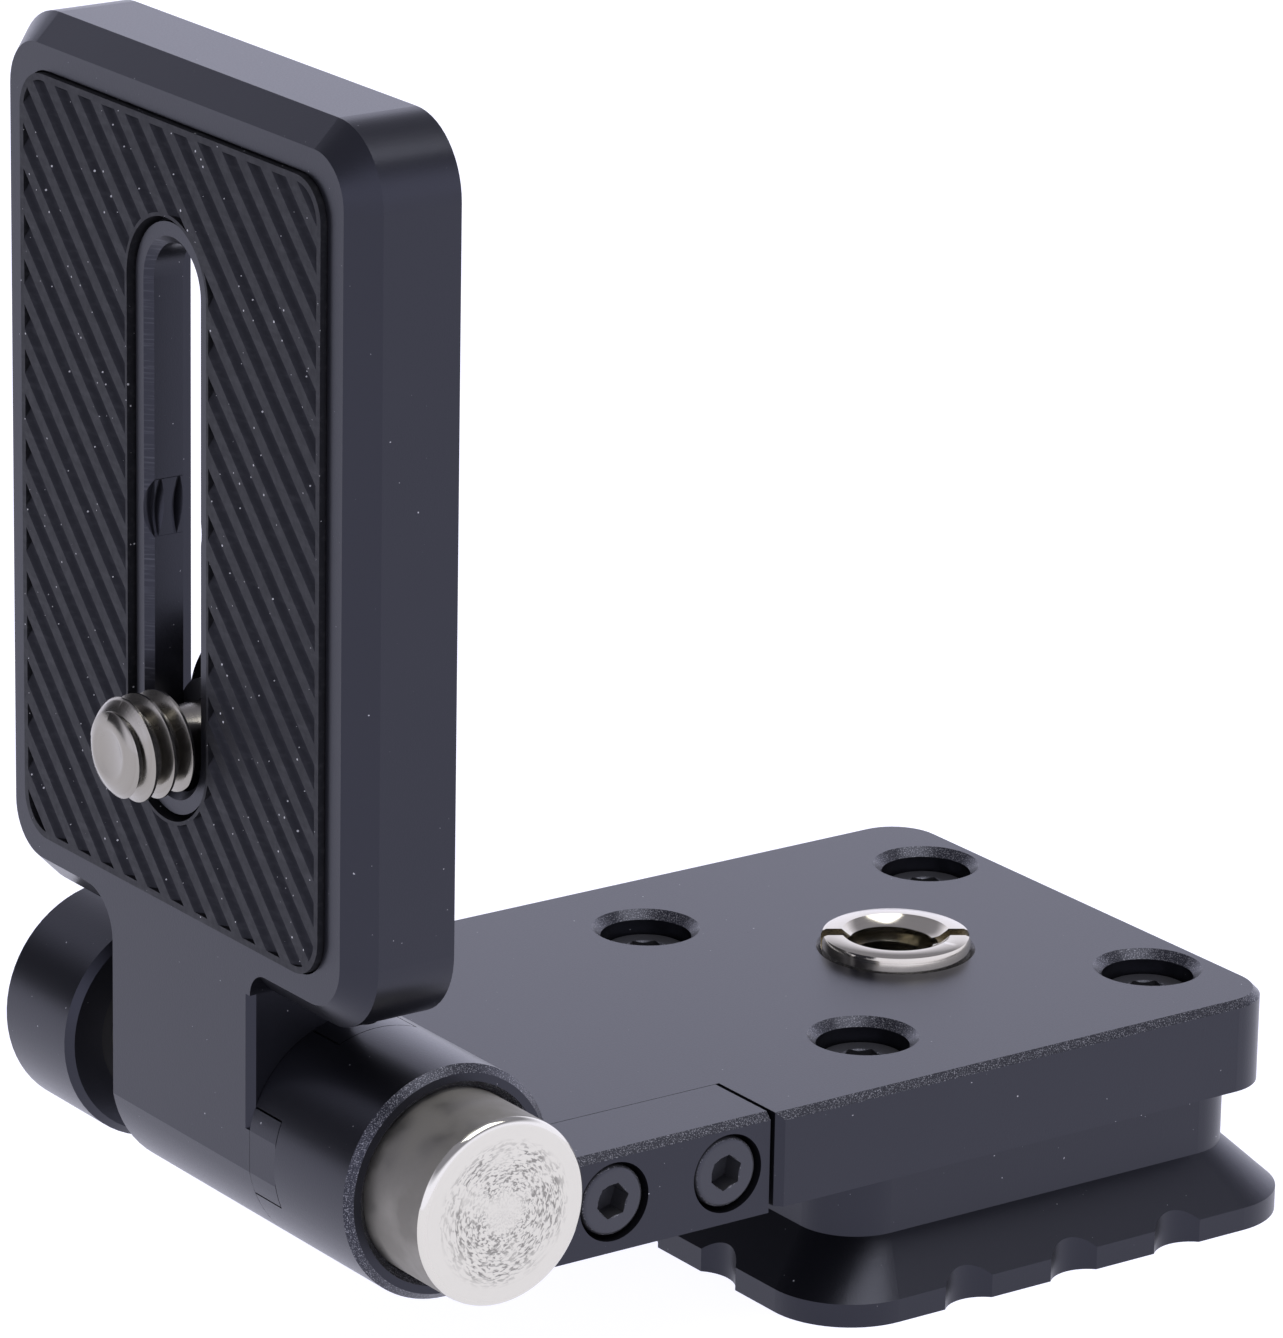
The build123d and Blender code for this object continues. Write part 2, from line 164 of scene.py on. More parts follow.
def soft_lamp(name, place, aim, width, length, power):
    """A rectangular softbox at `place` that points at `aim`."""
    lamp = bpy.data.lights.new(name, "AREA")
    lamp.shape = "RECTANGLE"
    lamp.size = width
    lamp.size_y = length
    lamp.energy = power
    stand = bpy.data.objects.new(name, lamp)
    bpy.context.scene.collection.objects.link(stand)
    stand.location = place
    stand.rotation_euler = (Vector(aim) - Vector(place)).to_track_quat("-Z", "Y").to_euler()


bracket_middle = (-0.022, 0.0, 0.03)
soft_lamp("top_softbox", (0.12, -0.30, 1.0), bracket_middle, 0.7, 0.7, 5.0)

view_turn = math.radians(-35.63)
view_height = math.radians(18.08)
view_roll = math.radians(1.04)
view_distance = 0.4697
view_target = Vector((-0.01976, 0.0, 0.03756))
lens_mm = 216.3
sensor_mm = 36.0
towards_viewer = Vector((math.sin(view_turn) * math.cos(view_height),
                         -math.cos(view_turn) * math.cos(view_height),
                         math.sin(view_height)))
level_right = Vector((math.cos(view_turn), math.sin(view_turn), 0))
level_up = towards_viewer.cross(level_right)
rolled_right = level_right * math.cos(view_roll) + level_up * math.sin(view_roll)
rolled_up = level_up * math.cos(view_roll) - level_right * math.sin(view_roll)
camera = bpy.data.objects.new("camera", bpy.data.cameras.new("camera"))
bpy.context.scene.collection.objects.link(camera)
camera.data.sensor_fit = "HORIZONTAL"
camera.data.sensor_width = sensor_mm
camera.data.lens = lens_mm
camera.data.clip_start = 0.02
camera_axes = Matrix((rolled_right, rolled_up, towards_viewer)).transposed().to_4x4()
camera_place = Matrix.Translation(view_target + towards_viewer * view_distance)
camera.matrix_world = camera_place @ camera_axes
bpy.context.scene.camera = camera

# Bed plate, hinge block and upright plate ------------------------------------
# Three pieces milled from aluminium bar, bead blasted to a fine satin and then
# anodised black. The small chamfers that lean one way are painted lighter with glints: a painted
# highlight.


def blank_material(name):
    """An empty node material, with its nodes and links."""
    material = bpy.data.materials.new(name)
    material.use_nodes = True
    material.node_tree.nodes.clear()
    return material, material.node_tree.nodes, material.node_tree.links


def anodised(name, colour, roughness, edge_axis, edge_colour, edge_zone, sparkle_scale):
    """Black anodising, with chamfers painted lighter where the faces lean halfway to `edge_axis`: a
    painted highlight with glints on milled parts, rubbed wear on cap screws.

    edge_zone is the middle and the half size of the box in which they are bright.
    """
    material, nodes, links = blank_material(name)

    blasting = nodes.new("NodeFrame")
    blasting.label = "Bead-blasted grain"
    chamfers = nodes.new("NodeFrame")
    chamfers.label = "Painted chamfer highlights and wear"
    dusting = nodes.new("NodeFrame")
    dusting.label = "Fine dust"

    place = nodes.new("ShaderNodeTexCoord")
    place.label = "Place on the part"

    grain = nodes.new("ShaderNodeTexNoise")
    grain.label = "Blast pits"
    grain.inputs["Scale"].default_value = 9000
    grain.inputs["Detail"].default_value = 2
    cloud = nodes.new("ShaderNodeTexNoise")
    cloud.label = "Uneven dye"
    cloud.inputs["Scale"].default_value = 140
    cloud.inputs["Detail"].default_value = 3
    dye = nodes.new("ShaderNodeMapRange")
    dye.label = "Dye variation"
    dye.inputs["To Min"].default_value = 0.8
    dye.inputs["To Max"].default_value = 1.25
    satin = nodes.new("ShaderNodeMapRange")
    satin.label = "Satin spread"
    satin.inputs["To Min"].default_value = roughness - 0.05
    satin.inputs["To Max"].default_value = roughness + 0.06
    pits = nodes.new("ShaderNodeBump")
    pits.label = "Pit relief"
    pits.inputs["Strength"].default_value = 0.25
    pits.inputs["Distance"].default_value = 0.00002

    # Chamfers leaning halfway to one axis are painted lighter with glints: a painted highlight on the
    # milled parts, real rubbed wear on the cap screws.
    lean = nodes.new("ShaderNodeSeparateXYZ")
    lean.label = "Which way the face leans"
    amount = nodes.new("ShaderNodeMath")
    amount.label = "Lean amount"
    amount.operation = "ABSOLUTE"
    halfway = nodes.new("ShaderNodeMath")
    halfway.label = "Half leaning faces only"
    halfway.operation = "COMPARE"
    halfway.inputs[1].default_value = math.sqrt(0.5)
    halfway.inputs[2].default_value = 0.04
    offset = nodes.new("ShaderNodeVectorMath")
    offset.label = "Offset from the stretch's middle"
    offset.operation = "SUBTRACT"
    offset.inputs[1].default_value = edge_zone[0]
    share = nodes.new("ShaderNodeVectorMath")
    share.label = "Share of its half size"
    share.operation = "DIVIDE"
    share.inputs[1].default_value = edge_zone[1]
    half_sizes = nodes.new("ShaderNodeVectorMath")
    half_sizes.label = "Distance in half sizes"
    half_sizes.operation = "ABSOLUTE"
    whole_steps = nodes.new("ShaderNodeVectorMath")
    whole_steps.label = "Whole half sizes out"
    whole_steps.operation = "FLOOR"
    outside = nodes.new("ShaderNodeVectorMath")
    outside.label = "Zero inside the stretch"
    outside.operation = "LENGTH"
    zone = nodes.new("ShaderNodeMath")
    zone.label = "Stretch with bright chamfers"
    zone.operation = "LESS_THAN"
    zone.inputs[1].default_value = 0.5
    both = nodes.new("ShaderNodeMath")
    both.label = "Chamfer in that stretch"
    both.operation = "MULTIPLY"
    cutter_path = nodes.new("ShaderNodeMapping")
    cutter_path.label = "Cutter marks' direction"
    cutter_path.inputs["Scale"].default_value = sparkle_scale
    sparkle = nodes.new("ShaderNodeTexNoise")
    sparkle.label = "Painted glints and wear specks"
    sparkle.inputs["Scale"].default_value = 1.0
    sparkle.inputs["Detail"].default_value = 3
    glints = nodes.new("ShaderNodeMapRange")
    glints.label = "Sparkle contrast"
    glints.inputs["From Min"].default_value = 0.52
    glints.inputs["From Max"].default_value = 0.80
    bright = nodes.new("ShaderNodeMath")
    bright.label = "Painted chamfer highlight and wear"
    bright.operation = "MULTIPLY"

    specks = nodes.new("ShaderNodeTexNoise")
    specks.label = "Dust grains"
    specks.inputs["Scale"].default_value = 3600
    specks.inputs["Detail"].default_value = 1
    grains = nodes.new("ShaderNodeMapRange")
    grains.label = "Only the largest grains"
    grains.inputs["From Min"].default_value = 0.80
    grains.inputs["From Max"].default_value = 0.84

    dyed = nodes.new("ShaderNodeMix")
    dyed.label = "Dyed colour"
    dyed.data_type = "RGBA"
    dyed.blend_type = "MULTIPLY"
    dyed.inputs["Factor"].default_value = 1.0
    dyed.inputs["A"].default_value = (*colour, 1)
    # Mixes in the edge colour: painted highlight on the milled parts' chamfers, rubbed wear on the cap
    # screws.
    worn = nodes.new("ShaderNodeMix")
    worn.label = "Painted highlight and wear colour"
    worn.data_type = "RGBA"
    worn.inputs["B"].default_value = (*edge_colour, 1)
    dusty = nodes.new("ShaderNodeMix")
    dusty.label = "Dust colour"
    dusty.data_type = "RGBA"
    dusty.inputs["B"].default_value = (0.42, 0.42, 0.43, 1)
    surface = nodes.new("ShaderNodeBsdfPrincipled")
    surface.label = "Anodised surface"
    surface.inputs["IOR"].default_value = 1.5
    surface.inputs["Specular Tint"].default_value = (0.80, 0.82, 1.0, 1)
    out = nodes.new("ShaderNodeOutputMaterial")
    out.label = "Finish"

    for node in (grain, cloud, dye, satin, pits):
        node.parent = blasting
    for node in (lean, amount, halfway, offset, share, half_sizes, whole_steps, outside, zone, both,
                 cutter_path, sparkle, glints, bright):
        node.parent = chamfers
    for node in (specks, grains):
        node.parent = dusting
    links.new(place.outputs["Object"], grain.inputs["Vector"])
    links.new(place.outputs["Object"], cloud.inputs["Vector"])
    links.new(place.outputs["Object"], cutter_path.inputs["Vector"])
    links.new(cutter_path.outputs["Vector"], sparkle.inputs["Vector"])
    links.new(place.outputs["Object"], offset.inputs[0])
    links.new(offset.outputs["Vector"], share.inputs[0])
    links.new(share.outputs["Vector"], half_sizes.inputs[0])
    links.new(half_sizes.outputs["Vector"], whole_steps.inputs[0])
    links.new(whole_steps.outputs["Vector"], outside.inputs[0])
    links.new(outside.outputs["Value"], zone.inputs[0])
    links.new(halfway.outputs["Value"], both.inputs[0])
    links.new(zone.outputs["Value"], both.inputs[1])
    links.new(place.outputs["Object"], specks.inputs["Vector"])
    links.new(place.outputs["Normal"], lean.inputs["Vector"])
    links.new(cloud.outputs["Fac"], dye.inputs["Value"])
    links.new(grain.outputs["Fac"], satin.inputs["Value"])
    links.new(grain.outputs["Fac"], pits.inputs["Height"])
    links.new(lean.outputs[edge_axis], amount.inputs[0])
    links.new(amount.outputs["Value"], halfway.inputs[0])
    links.new(sparkle.outputs["Fac"], glints.inputs["Value"])
    links.new(both.outputs["Value"], bright.inputs[0])
    links.new(glints.outputs["Result"], bright.inputs[1])
    links.new(specks.outputs["Fac"], grains.inputs["Value"])
    links.new(dye.outputs["Result"], dyed.inputs["B"])
    links.new(dyed.outputs["Result"], worn.inputs["A"])
    links.new(bright.outputs["Value"], worn.inputs["Factor"])
    links.new(worn.outputs["Result"], dusty.inputs["A"])
    links.new(grains.outputs["Result"], dusty.inputs["Factor"])
    links.new(dusty.outputs["Result"], surface.inputs["Base Color"])
    links.new(satin.outputs["Result"], surface.inputs["Roughness"])
    links.new(pits.outputs["Normal"], surface.inputs["Normal"])
    links.new(surface.outputs["BSDF"], out.inputs["Surface"])
    lay_out(nodes)
    return material


def finish(piece, material):
    """Gives a piece its finish, in place of any that it had."""
    piece.data.materials.clear()
    piece.data.materials.append(material)


black = (0.0045, 0.0045, 0.0055)
# Painted highlight: the lighter grey given to chamfers that lean one way, as if they caught the light.
painted_chamfer_highlight = (0.34, 0.34, 0.36)
even_sparkle = (13000, 13000, 13000)
everywhere = ((0, 0, 0), (1, 1, 1))
hinge_joint = next(joint for joint in frame["joints"] if joint["name"] == "upright_fold")
hinge_x, _, hinge_z = hinge_joint["pos_m"]
tap_height = 0.0364
past_hinge = ((hinge_x + 0.108, 0, 0), (0.1, 1, 1))
# Painted highlight on the slot mouth's chamfers: a lighter grey with streaked glints.
slot_mouth = ((hinge_x, 0, hinge_z + tap_height), (0.02, 0.0034, 0.018))
milled_glint_streaks = (400, 400, 7000)
painted_slot_edge_highlight = (0.05, 0.05, 0.055)
body_satin = 0.30
plug_satin = 0.32
finish(frame["nodes"]["bed_plate"],
       anodised("bed_anodising", black, body_satin, "Z", painted_chamfer_highlight, past_hinge, even_sparkle))
finish(frame["nodes"]["hinge_block"],
       anodised("block_anodising", black, body_satin, "Y", painted_chamfer_highlight, everywhere,
                even_sparkle))
plate_anodising = anodised("plate_anodising", black, body_satin, "X", painted_slot_edge_highlight, slot_mouth,
                           milled_glint_streaks)
finish(frame["nodes"]["upright_plate"], plate_anodising)
finish(frame["nodes"]["dog_ring"],
       anodised("dog_anodising", black, body_satin, "X", black, everywhere, even_sparkle))
finish(frame["nodes"]["spring_plug"],
       anodised("plug_anodising", black, plug_satin, "Y", painted_chamfer_highlight, everywhere,
                even_sparkle))

# Dovetail foot ---------------------------------------------------------------
# A square quick-release dovetail, milled and blasted like the bed but dyed a
# little deeper, with scalloped side bands that give it grip in a clamp.

foot_black = (0.003, 0.003, 0.0035)
foot_satin = 0.33
finish(frame["nodes"]["foot_plate"],
       anodised("foot_anodising", foot_black, foot_satin, "X", foot_black, everywhere,
                even_sparkle))

# Camera screw ----------------------------------------------------------------
# A quarter-inch screw turned from steel and nickel plated: rolled thread with a
# chamfered, slightly dished tip, a waisted shank, and a slotted head behind.

inch = 0.0254
quarter_inch_pitch = inch / 20
quarter_inch_radius = inch / 8


def new_piece(name, shape):
    """Makes an object from a bmesh, which is used up."""
    piece = bpy.data.objects.new(name, bpy.data.meshes.new(name))
    shape.to_mesh(piece.data)
    shape.free()
    bpy.context.scene.collection.objects.link(piece)
    return piece


def combine(piece, tool, operation):
    """Joins, cuts or intersects `piece` with `tool`, which is used up."""
    step = piece.modifiers.new("Machining", "BOOLEAN")
    step.operation = operation
    step.solver = "EXACT"
    step.object = tool
    graph = bpy.context.evaluated_depsgraph_get()
    machined = bpy.data.meshes.new_from_object(piece.evaluated_get(graph))
    piece.modifiers.clear()
    piece.data = machined
    bpy.data.objects.remove(tool)


def shade(piece):
    """Shades curves smoothly and leaves machined edges sharp."""
    piece.data.shade_smooth()
    piece.data.set_sharp_from_angle(angle=math.radians(32))


def block(size, middle):
    """A square-edged cutter."""
    shape = bmesh.new()
    bmesh.ops.create_cube(shape, size=1.0)
    bmesh.ops.scale(shape, vec=size, verts=shape.verts)
    bmesh.ops.translate(shape, vec=middle, verts=shape.verts)
    return shape


def turned(profile, steps):
    """A solid turned about X from (along, radius) points that start and end on the axis."""
    shape = bmesh.new()
    ring = [shape.verts.new((along, 0, radius)) for along, radius in profile]
    edges = [shape.edges.new(pair) for pair in zip(ring, ring[1:])]
    bmesh.ops.spin(shape, geom=ring + edges, cent=(0, 0, 0), axis=(1, 0, 0),
                   angle=math.tau, steps=steps, use_merge=True)
    bmesh.ops.remove_doubles(shape, verts=shape.verts, dist=1e-7)
    bmesh.ops.recalc_face_normals(shape, faces=shape.faces)
    return shape


def threaded_bar(radius, pitch, start, end, turn_steps):
    """A closed bar along X with a helical sixty-degree thread."""
    depth = 0.6 * pitch
    crest = pitch / 8
    root = pitch / 5
    flank = (pitch - crest - root) / 2
    stations = ((0, radius - depth), (root, radius - depth), (root + flank, radius),
                (root + flank + crest, radius), (pitch, radius - depth))
    shape = bmesh.new()
    row = [shape.verts.new((start - 2 * pitch + along, 0, reach)) for along, reach in stations]
    edges = [shape.edges.new(pair) for pair in zip(row, row[1:])]
    turns = math.ceil((end - start) / pitch) + 3
    bmesh.ops.spin(shape, geom=row + edges, cent=(0, 0, 0), axis=(1, 0, 0),
                   dvec=(pitch / turn_steps, 0, 0), angle=math.tau * turns,
                   steps=turn_steps * turns)
    bmesh.ops.remove_doubles(shape, verts=shape.verts, dist=pitch / 200)
    for plane, normal in ((start, (-1, 0, 0)), (end, (1, 0, 0))):
        bmesh.ops.bisect_plane(shape, geom=shape.verts[:] + shape.edges[:] + shape.faces[:],
                               plane_co=(plane, 0, 0), plane_no=normal, clear_outer=True)
    rims = [edge for edge in shape.edges if edge.is_boundary]
    bmesh.ops.holes_fill(shape, edges=rims, sides=0)
    bmesh.ops.recalc_face_normals(shape, faces=shape.faces)
    return shape


def nickel_plate(name, tone, roughness, mark_axis, mark_scale):
    """Bright plated steel with faint turning marks across `mark_axis`."""
    material, nodes, links = blank_material(name)
    turning = nodes.new("NodeFrame")
    turning.label = "Turning marks"
    handling = nodes.new("NodeFrame")
    handling.label = "Handling"
    place = nodes.new("ShaderNodeTexCoord")
    place.label = "Place on the part"
    along = nodes.new("ShaderNodeMapping")
    along.label = "Stretch round the part"
    stretch = [40, 40, 40]
    stretch["XYZ".index(mark_axis)] = mark_scale
    along.inputs["Scale"].default_value = stretch
    marks = nodes.new("ShaderNodeTexNoise")
    marks.label = "Fine tool lines"
    marks.inputs["Scale"].default_value = 1.0
    marks.inputs["Detail"].default_value = 3
    relief = nodes.new("ShaderNodeBump")
    relief.label = "Line relief"
    relief.inputs["Strength"].default_value = 0.12
    relief.inputs["Distance"].default_value = 0.00003
    stains = nodes.new("ShaderNodeTexNoise")
    stains.label = "Handling haze"
    stains.inputs["Scale"].default_value = 500
    stains.inputs["Detail"].default_value = 4
    haze = nodes.new("ShaderNodeMapRange")
    haze.label = "Haze roughness"
    haze.inputs["From Min"].default_value = 0.3
    haze.inputs["From Max"].default_value = 0.7
    haze.inputs["To Min"].default_value = roughness * 0.7
    haze.inputs["To Max"].default_value = roughness * 1.4
    tint = nodes.new("ShaderNodeMix")
    tint.label = "Plating tone"
    tint.data_type = "RGBA"
    tint.inputs["A"].default_value = (*tone, 1)
    tint.inputs["B"].default_value = (tone[0] * 0.8, tone[1] * 0.78, tone[2] * 0.74, 1)
    plated = nodes.new("ShaderNodeBsdfPrincipled")
    plated.label = "Nickel plate"
    plated.inputs["Metallic"].default_value = 1.0
    out = nodes.new("ShaderNodeOutputMaterial")
    out.label = "Finish"
    for node in (along, marks, relief):
        node.parent = turning
    for node in (stains, haze):
        node.parent = handling
    links.new(place.outputs["Object"], along.inputs["Vector"])
    links.new(along.outputs["Vector"], marks.inputs["Vector"])
    links.new(marks.outputs["Fac"], relief.inputs["Height"])
    links.new(marks.outputs["Fac"], tint.inputs["Factor"])
    links.new(place.outputs["Object"], stains.inputs["Vector"])
    links.new(stains.outputs["Fac"], haze.inputs["Value"])
    links.new(tint.outputs["Result"], plated.inputs["Base Color"])
    links.new(haze.outputs["Result"], plated.inputs["Roughness"])
    links.new(relief.outputs["Normal"], plated.inputs["Normal"])
    links.new(plated.outputs["BSDF"], out.inputs["Surface"])
    lay_out(nodes)
    return material


dull_nickel = (0.34, 0.325, 0.29)
screw_low, screw_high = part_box("camera_screw")
screw_centre_z = (screw_low.z + screw_high.z) / 2
screw_tip_x = screw_low.x
screw_head_x = screw_high.x
head_radius = (screw_high.y - screw_low.y) / 2
thread_root_x = screw_tip_x + 0.00395
shank_radius = 0.00205
head_thickness = 0.00175
head_rim = 0.0003
coin_slot_width = 0.0014
coin_slot_depth = 0.0009
tip_flat = 0.0018
tip_chamfer = 0.0009
tip_dish = 0.00012
dish_rim = 0.0003
dish_slope = 0.00025
tip_curve = (0.00025, 0.00062)
crest_break = 0.0001
crest_run = 0.0002
shank_overlap = 0.0004
overrun = 0.001
cutter_reach = 0.02
stud_steps = 96

envelope = turned(((screw_tip_x + tip_dish, 0),
                   (screw_tip_x + tip_dish, tip_flat - dish_rim - dish_slope),
                   (screw_tip_x, tip_flat - dish_rim), (screw_tip_x, tip_flat),
                   (screw_tip_x + tip_curve[0], tip_flat + tip_curve[1]),
                   (screw_tip_x + tip_chamfer, quarter_inch_radius - crest_break),
                   (screw_tip_x + tip_chamfer + crest_run, quarter_inch_radius),
                   (thread_root_x, quarter_inch_radius), (thread_root_x, 0)), stud_steps)
thread_blank = threaded_bar(quarter_inch_radius, quarter_inch_pitch,
                            screw_tip_x - overrun, thread_root_x + overrun, 72)
camera_stud = new_piece("camera_stud", thread_blank)
combine(camera_stud, new_piece("envelope", envelope), "INTERSECT")
shank = turned(((thread_root_x - shank_overlap, 0),
                (thread_root_x - shank_overlap, shank_radius - head_rim),
                (thread_root_x, shank_radius),
                (screw_head_x - head_thickness, shank_radius),
                (screw_head_x - head_thickness, head_radius - head_rim),
                (screw_head_x - head_thickness + head_rim, head_radius),
                (screw_head_x - head_rim, head_radius),
                (screw_head_x - head_rim * 0.3, head_radius - head_rim * 0.3),
                (screw_head_x, head_radius - head_rim),
                (screw_head_x, 0)), stud_steps)
shank_piece = new_piece("shank", shank)
coin_slot = block((2 * coin_slot_depth, cutter_reach, coin_slot_width), (screw_head_x, 0, 0))
combine(shank_piece, new_piece("coin_slot", coin_slot), "DIFFERENCE")
combine(camera_stud, shank_piece, "UNION")
camera_stud.data.transform(Matrix.Translation((0, 0, screw_centre_z)))
finish(camera_stud, nickel_plate("screw_nickel", dull_nickel, 0.20, "X", 9000))
shade(camera_stud)
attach(camera_stud, "camera_screw")
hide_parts("camera_screw")

# Slot's tapped start ---------------------------------------------------------
# Halfway up the slot the camera screw is threaded through the plate, so two short
# runs of quarter-inch thread are left in the slot's walls.

plate_front_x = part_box("upright_plate")[0].x
web_thickness = 0.0024
front_gap = 0.00045
tap_middle_z = hinge_z + tap_height
slot_width = 0.0053
wall_sliver = 0.00002
tap_radius = quarter_inch_radius - wall_sliver
wall_blank = turned(((plate_front_x + front_gap, 0), (plate_front_x + front_gap, tap_radius),
                     (plate_front_x + web_thickness, tap_radius),
                     (plate_front_x + web_thickness, 0)), 96)
tapped_wall = new_piece("tapped_wall", wall_blank)
slot_tool = block((cutter_reach, slot_width, cutter_reach), (plate_front_x, 0, 0))
combine(tapped_wall, new_piece("slot_tool", slot_tool), "DIFFERENCE")
tap = threaded_bar(quarter_inch_radius + wall_sliver / 2, quarter_inch_pitch,
                   plate_front_x - overrun, plate_front_x + web_thickness + overrun, 96)
combine(tapped_wall, new_piece("tap", tap), "DIFFERENCE")
tapped_wall.data.transform(Matrix.Translation((0, 0, tap_middle_z)))
finish(tapped_wall, plate_anodising)
shade(tapped_wall)
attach(tapped_wall, "upright")

# Rubber pad ------------------------------------------------------------------
# A moulded rubber sheet glued in the plate's pocket. Rounded grooves run down
# across it and stop just short of its rim, so it grips the camera's base.

pad_low, pad_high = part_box("rubber_pad")
pad_thickness = pad_high.x - pad_low.x
pad_corner = 0.0025
pad_slot_width = 0.0086
slot_low_z = hinge_z + 0.0225
slot_high_z = hinge_z + 0.0503
groove_pitch = 0.00189
groove_width = 0.00105
groove_depth = 0.00042
groove_angle = math.radians(46.7)
rim_strip = 0.00040
slot_strip = 0.00022


def rounded_slab(middle_x, thickness, low_y, high_y, low_z, high_z, corner, segments):
    """A flat slab across X with rounded corners."""
    shape = bmesh.new()
    bmesh.ops.create_grid(shape, x_segments=1, y_segments=1, size=0.5)
    bmesh.ops.rotate(shape, matrix=Matrix.Rotation(math.pi / 2, 3, "Y"), verts=shape.verts)
    bmesh.ops.scale(shape, vec=(1, high_y - low_y, high_z - low_z), verts=shape.verts)
    bmesh.ops.bevel(shape, geom=shape.verts[:], offset=corner, segments=segments,
                    affect="VERTICES", profile=0.5, material=-1)
    bmesh.ops.translate(shape, vec=(middle_x - thickness / 2, (low_y + high_y) / 2,
                                    (low_z + high_z) / 2), verts=shape.verts)
    grown = bmesh.ops.extrude_face_region(shape, geom=shape.faces[:])
    top = [item for item in grown["geom"] if isinstance(item, bmesh.types.BMVert)]
    bmesh.ops.translate(shape, vec=(thickness, 0, 0), verts=top)
    bmesh.ops.recalc_face_normals(shape, faces=shape.faces)
    return shape


def slot_slab(middle_x, thickness, width):
    """A round-ended slab as wide as `width` round the slot's own centres."""
    half = width / 2
    return rounded_slab(middle_x, thickness, -half, half, slot_low_z - half,
                        slot_high_z + half, half * 0.999, 24)


def groove_tool():
    """A slab whose underside carries the grooves' rounded ridges."""
    reach = pad_high.z - pad_low.z
    count = int(reach / groove_pitch) + 2
    steps = 10
    backing = 0.002
    row = []
    shape = bmesh.new()
    for number in range(-count, count + 1):
        for step in range(steps + 1):
            turn = math.tau * step / steps
            across = number * groove_pitch + groove_width * (step / steps - 0.5)
            sink = groove_depth * (0.5 - 0.5 * math.cos(turn)) ** 0.7
            row.append(shape.verts.new((pad_low.x + sink, across, -reach)))
    row.append(shape.verts.new((pad_low.x - backing, row[-1].co.y + groove_pitch, -reach)))
    row.insert(0, shape.verts.new((pad_low.x - backing, row[0].co.y - groove_pitch, -reach)))
    end = shape.faces.new(row)
    grown = bmesh.ops.extrude_face_region(shape, geom=[end])
    top = [item for item in grown["geom"] if isinstance(item, bmesh.types.BMVert)]
    bmesh.ops.translate(shape, vec=(0, 0, 2 * reach), verts=top)
    bmesh.ops.rotate(shape, matrix=Matrix.Rotation(groove_angle - math.pi / 2, 3, "X"),
                     verts=shape.verts)
    bmesh.ops.translate(shape, vec=(0, 0, (pad_low.z + pad_high.z) / 2), verts=shape.verts)
    bmesh.ops.recalc_face_normals(shape, faces=shape.faces)
    return shape


pad_middle_x = (pad_low.x + pad_high.x) / 2
pad_blank = rounded_slab(pad_middle_x, pad_thickness, pad_low.y, pad_high.y, pad_low.z,
                         pad_high.z, pad_corner, 12)
ribbed_pad = new_piece("ribbed_pad", pad_blank)
combine(ribbed_pad, new_piece("slot_hole", slot_slab(pad_middle_x, 0.01, pad_slot_width)), "DIFFERENCE")
grooves = new_piece("grooves", groove_tool())
inner_field = rounded_slab(pad_middle_x, 0.008, pad_low.y + rim_strip, pad_high.y - rim_strip,
                           pad_low.z + rim_strip, pad_high.z - rim_strip,
                           pad_corner - rim_strip, 12)
combine(grooves, new_piece("inner_field", inner_field), "INTERSECT")
slot_border = slot_slab(pad_middle_x, 0.01, pad_slot_width + 2 * slot_strip)
combine(grooves, new_piece("slot_border", slot_border), "DIFFERENCE")
combine(ribbed_pad, grooves, "DIFFERENCE")


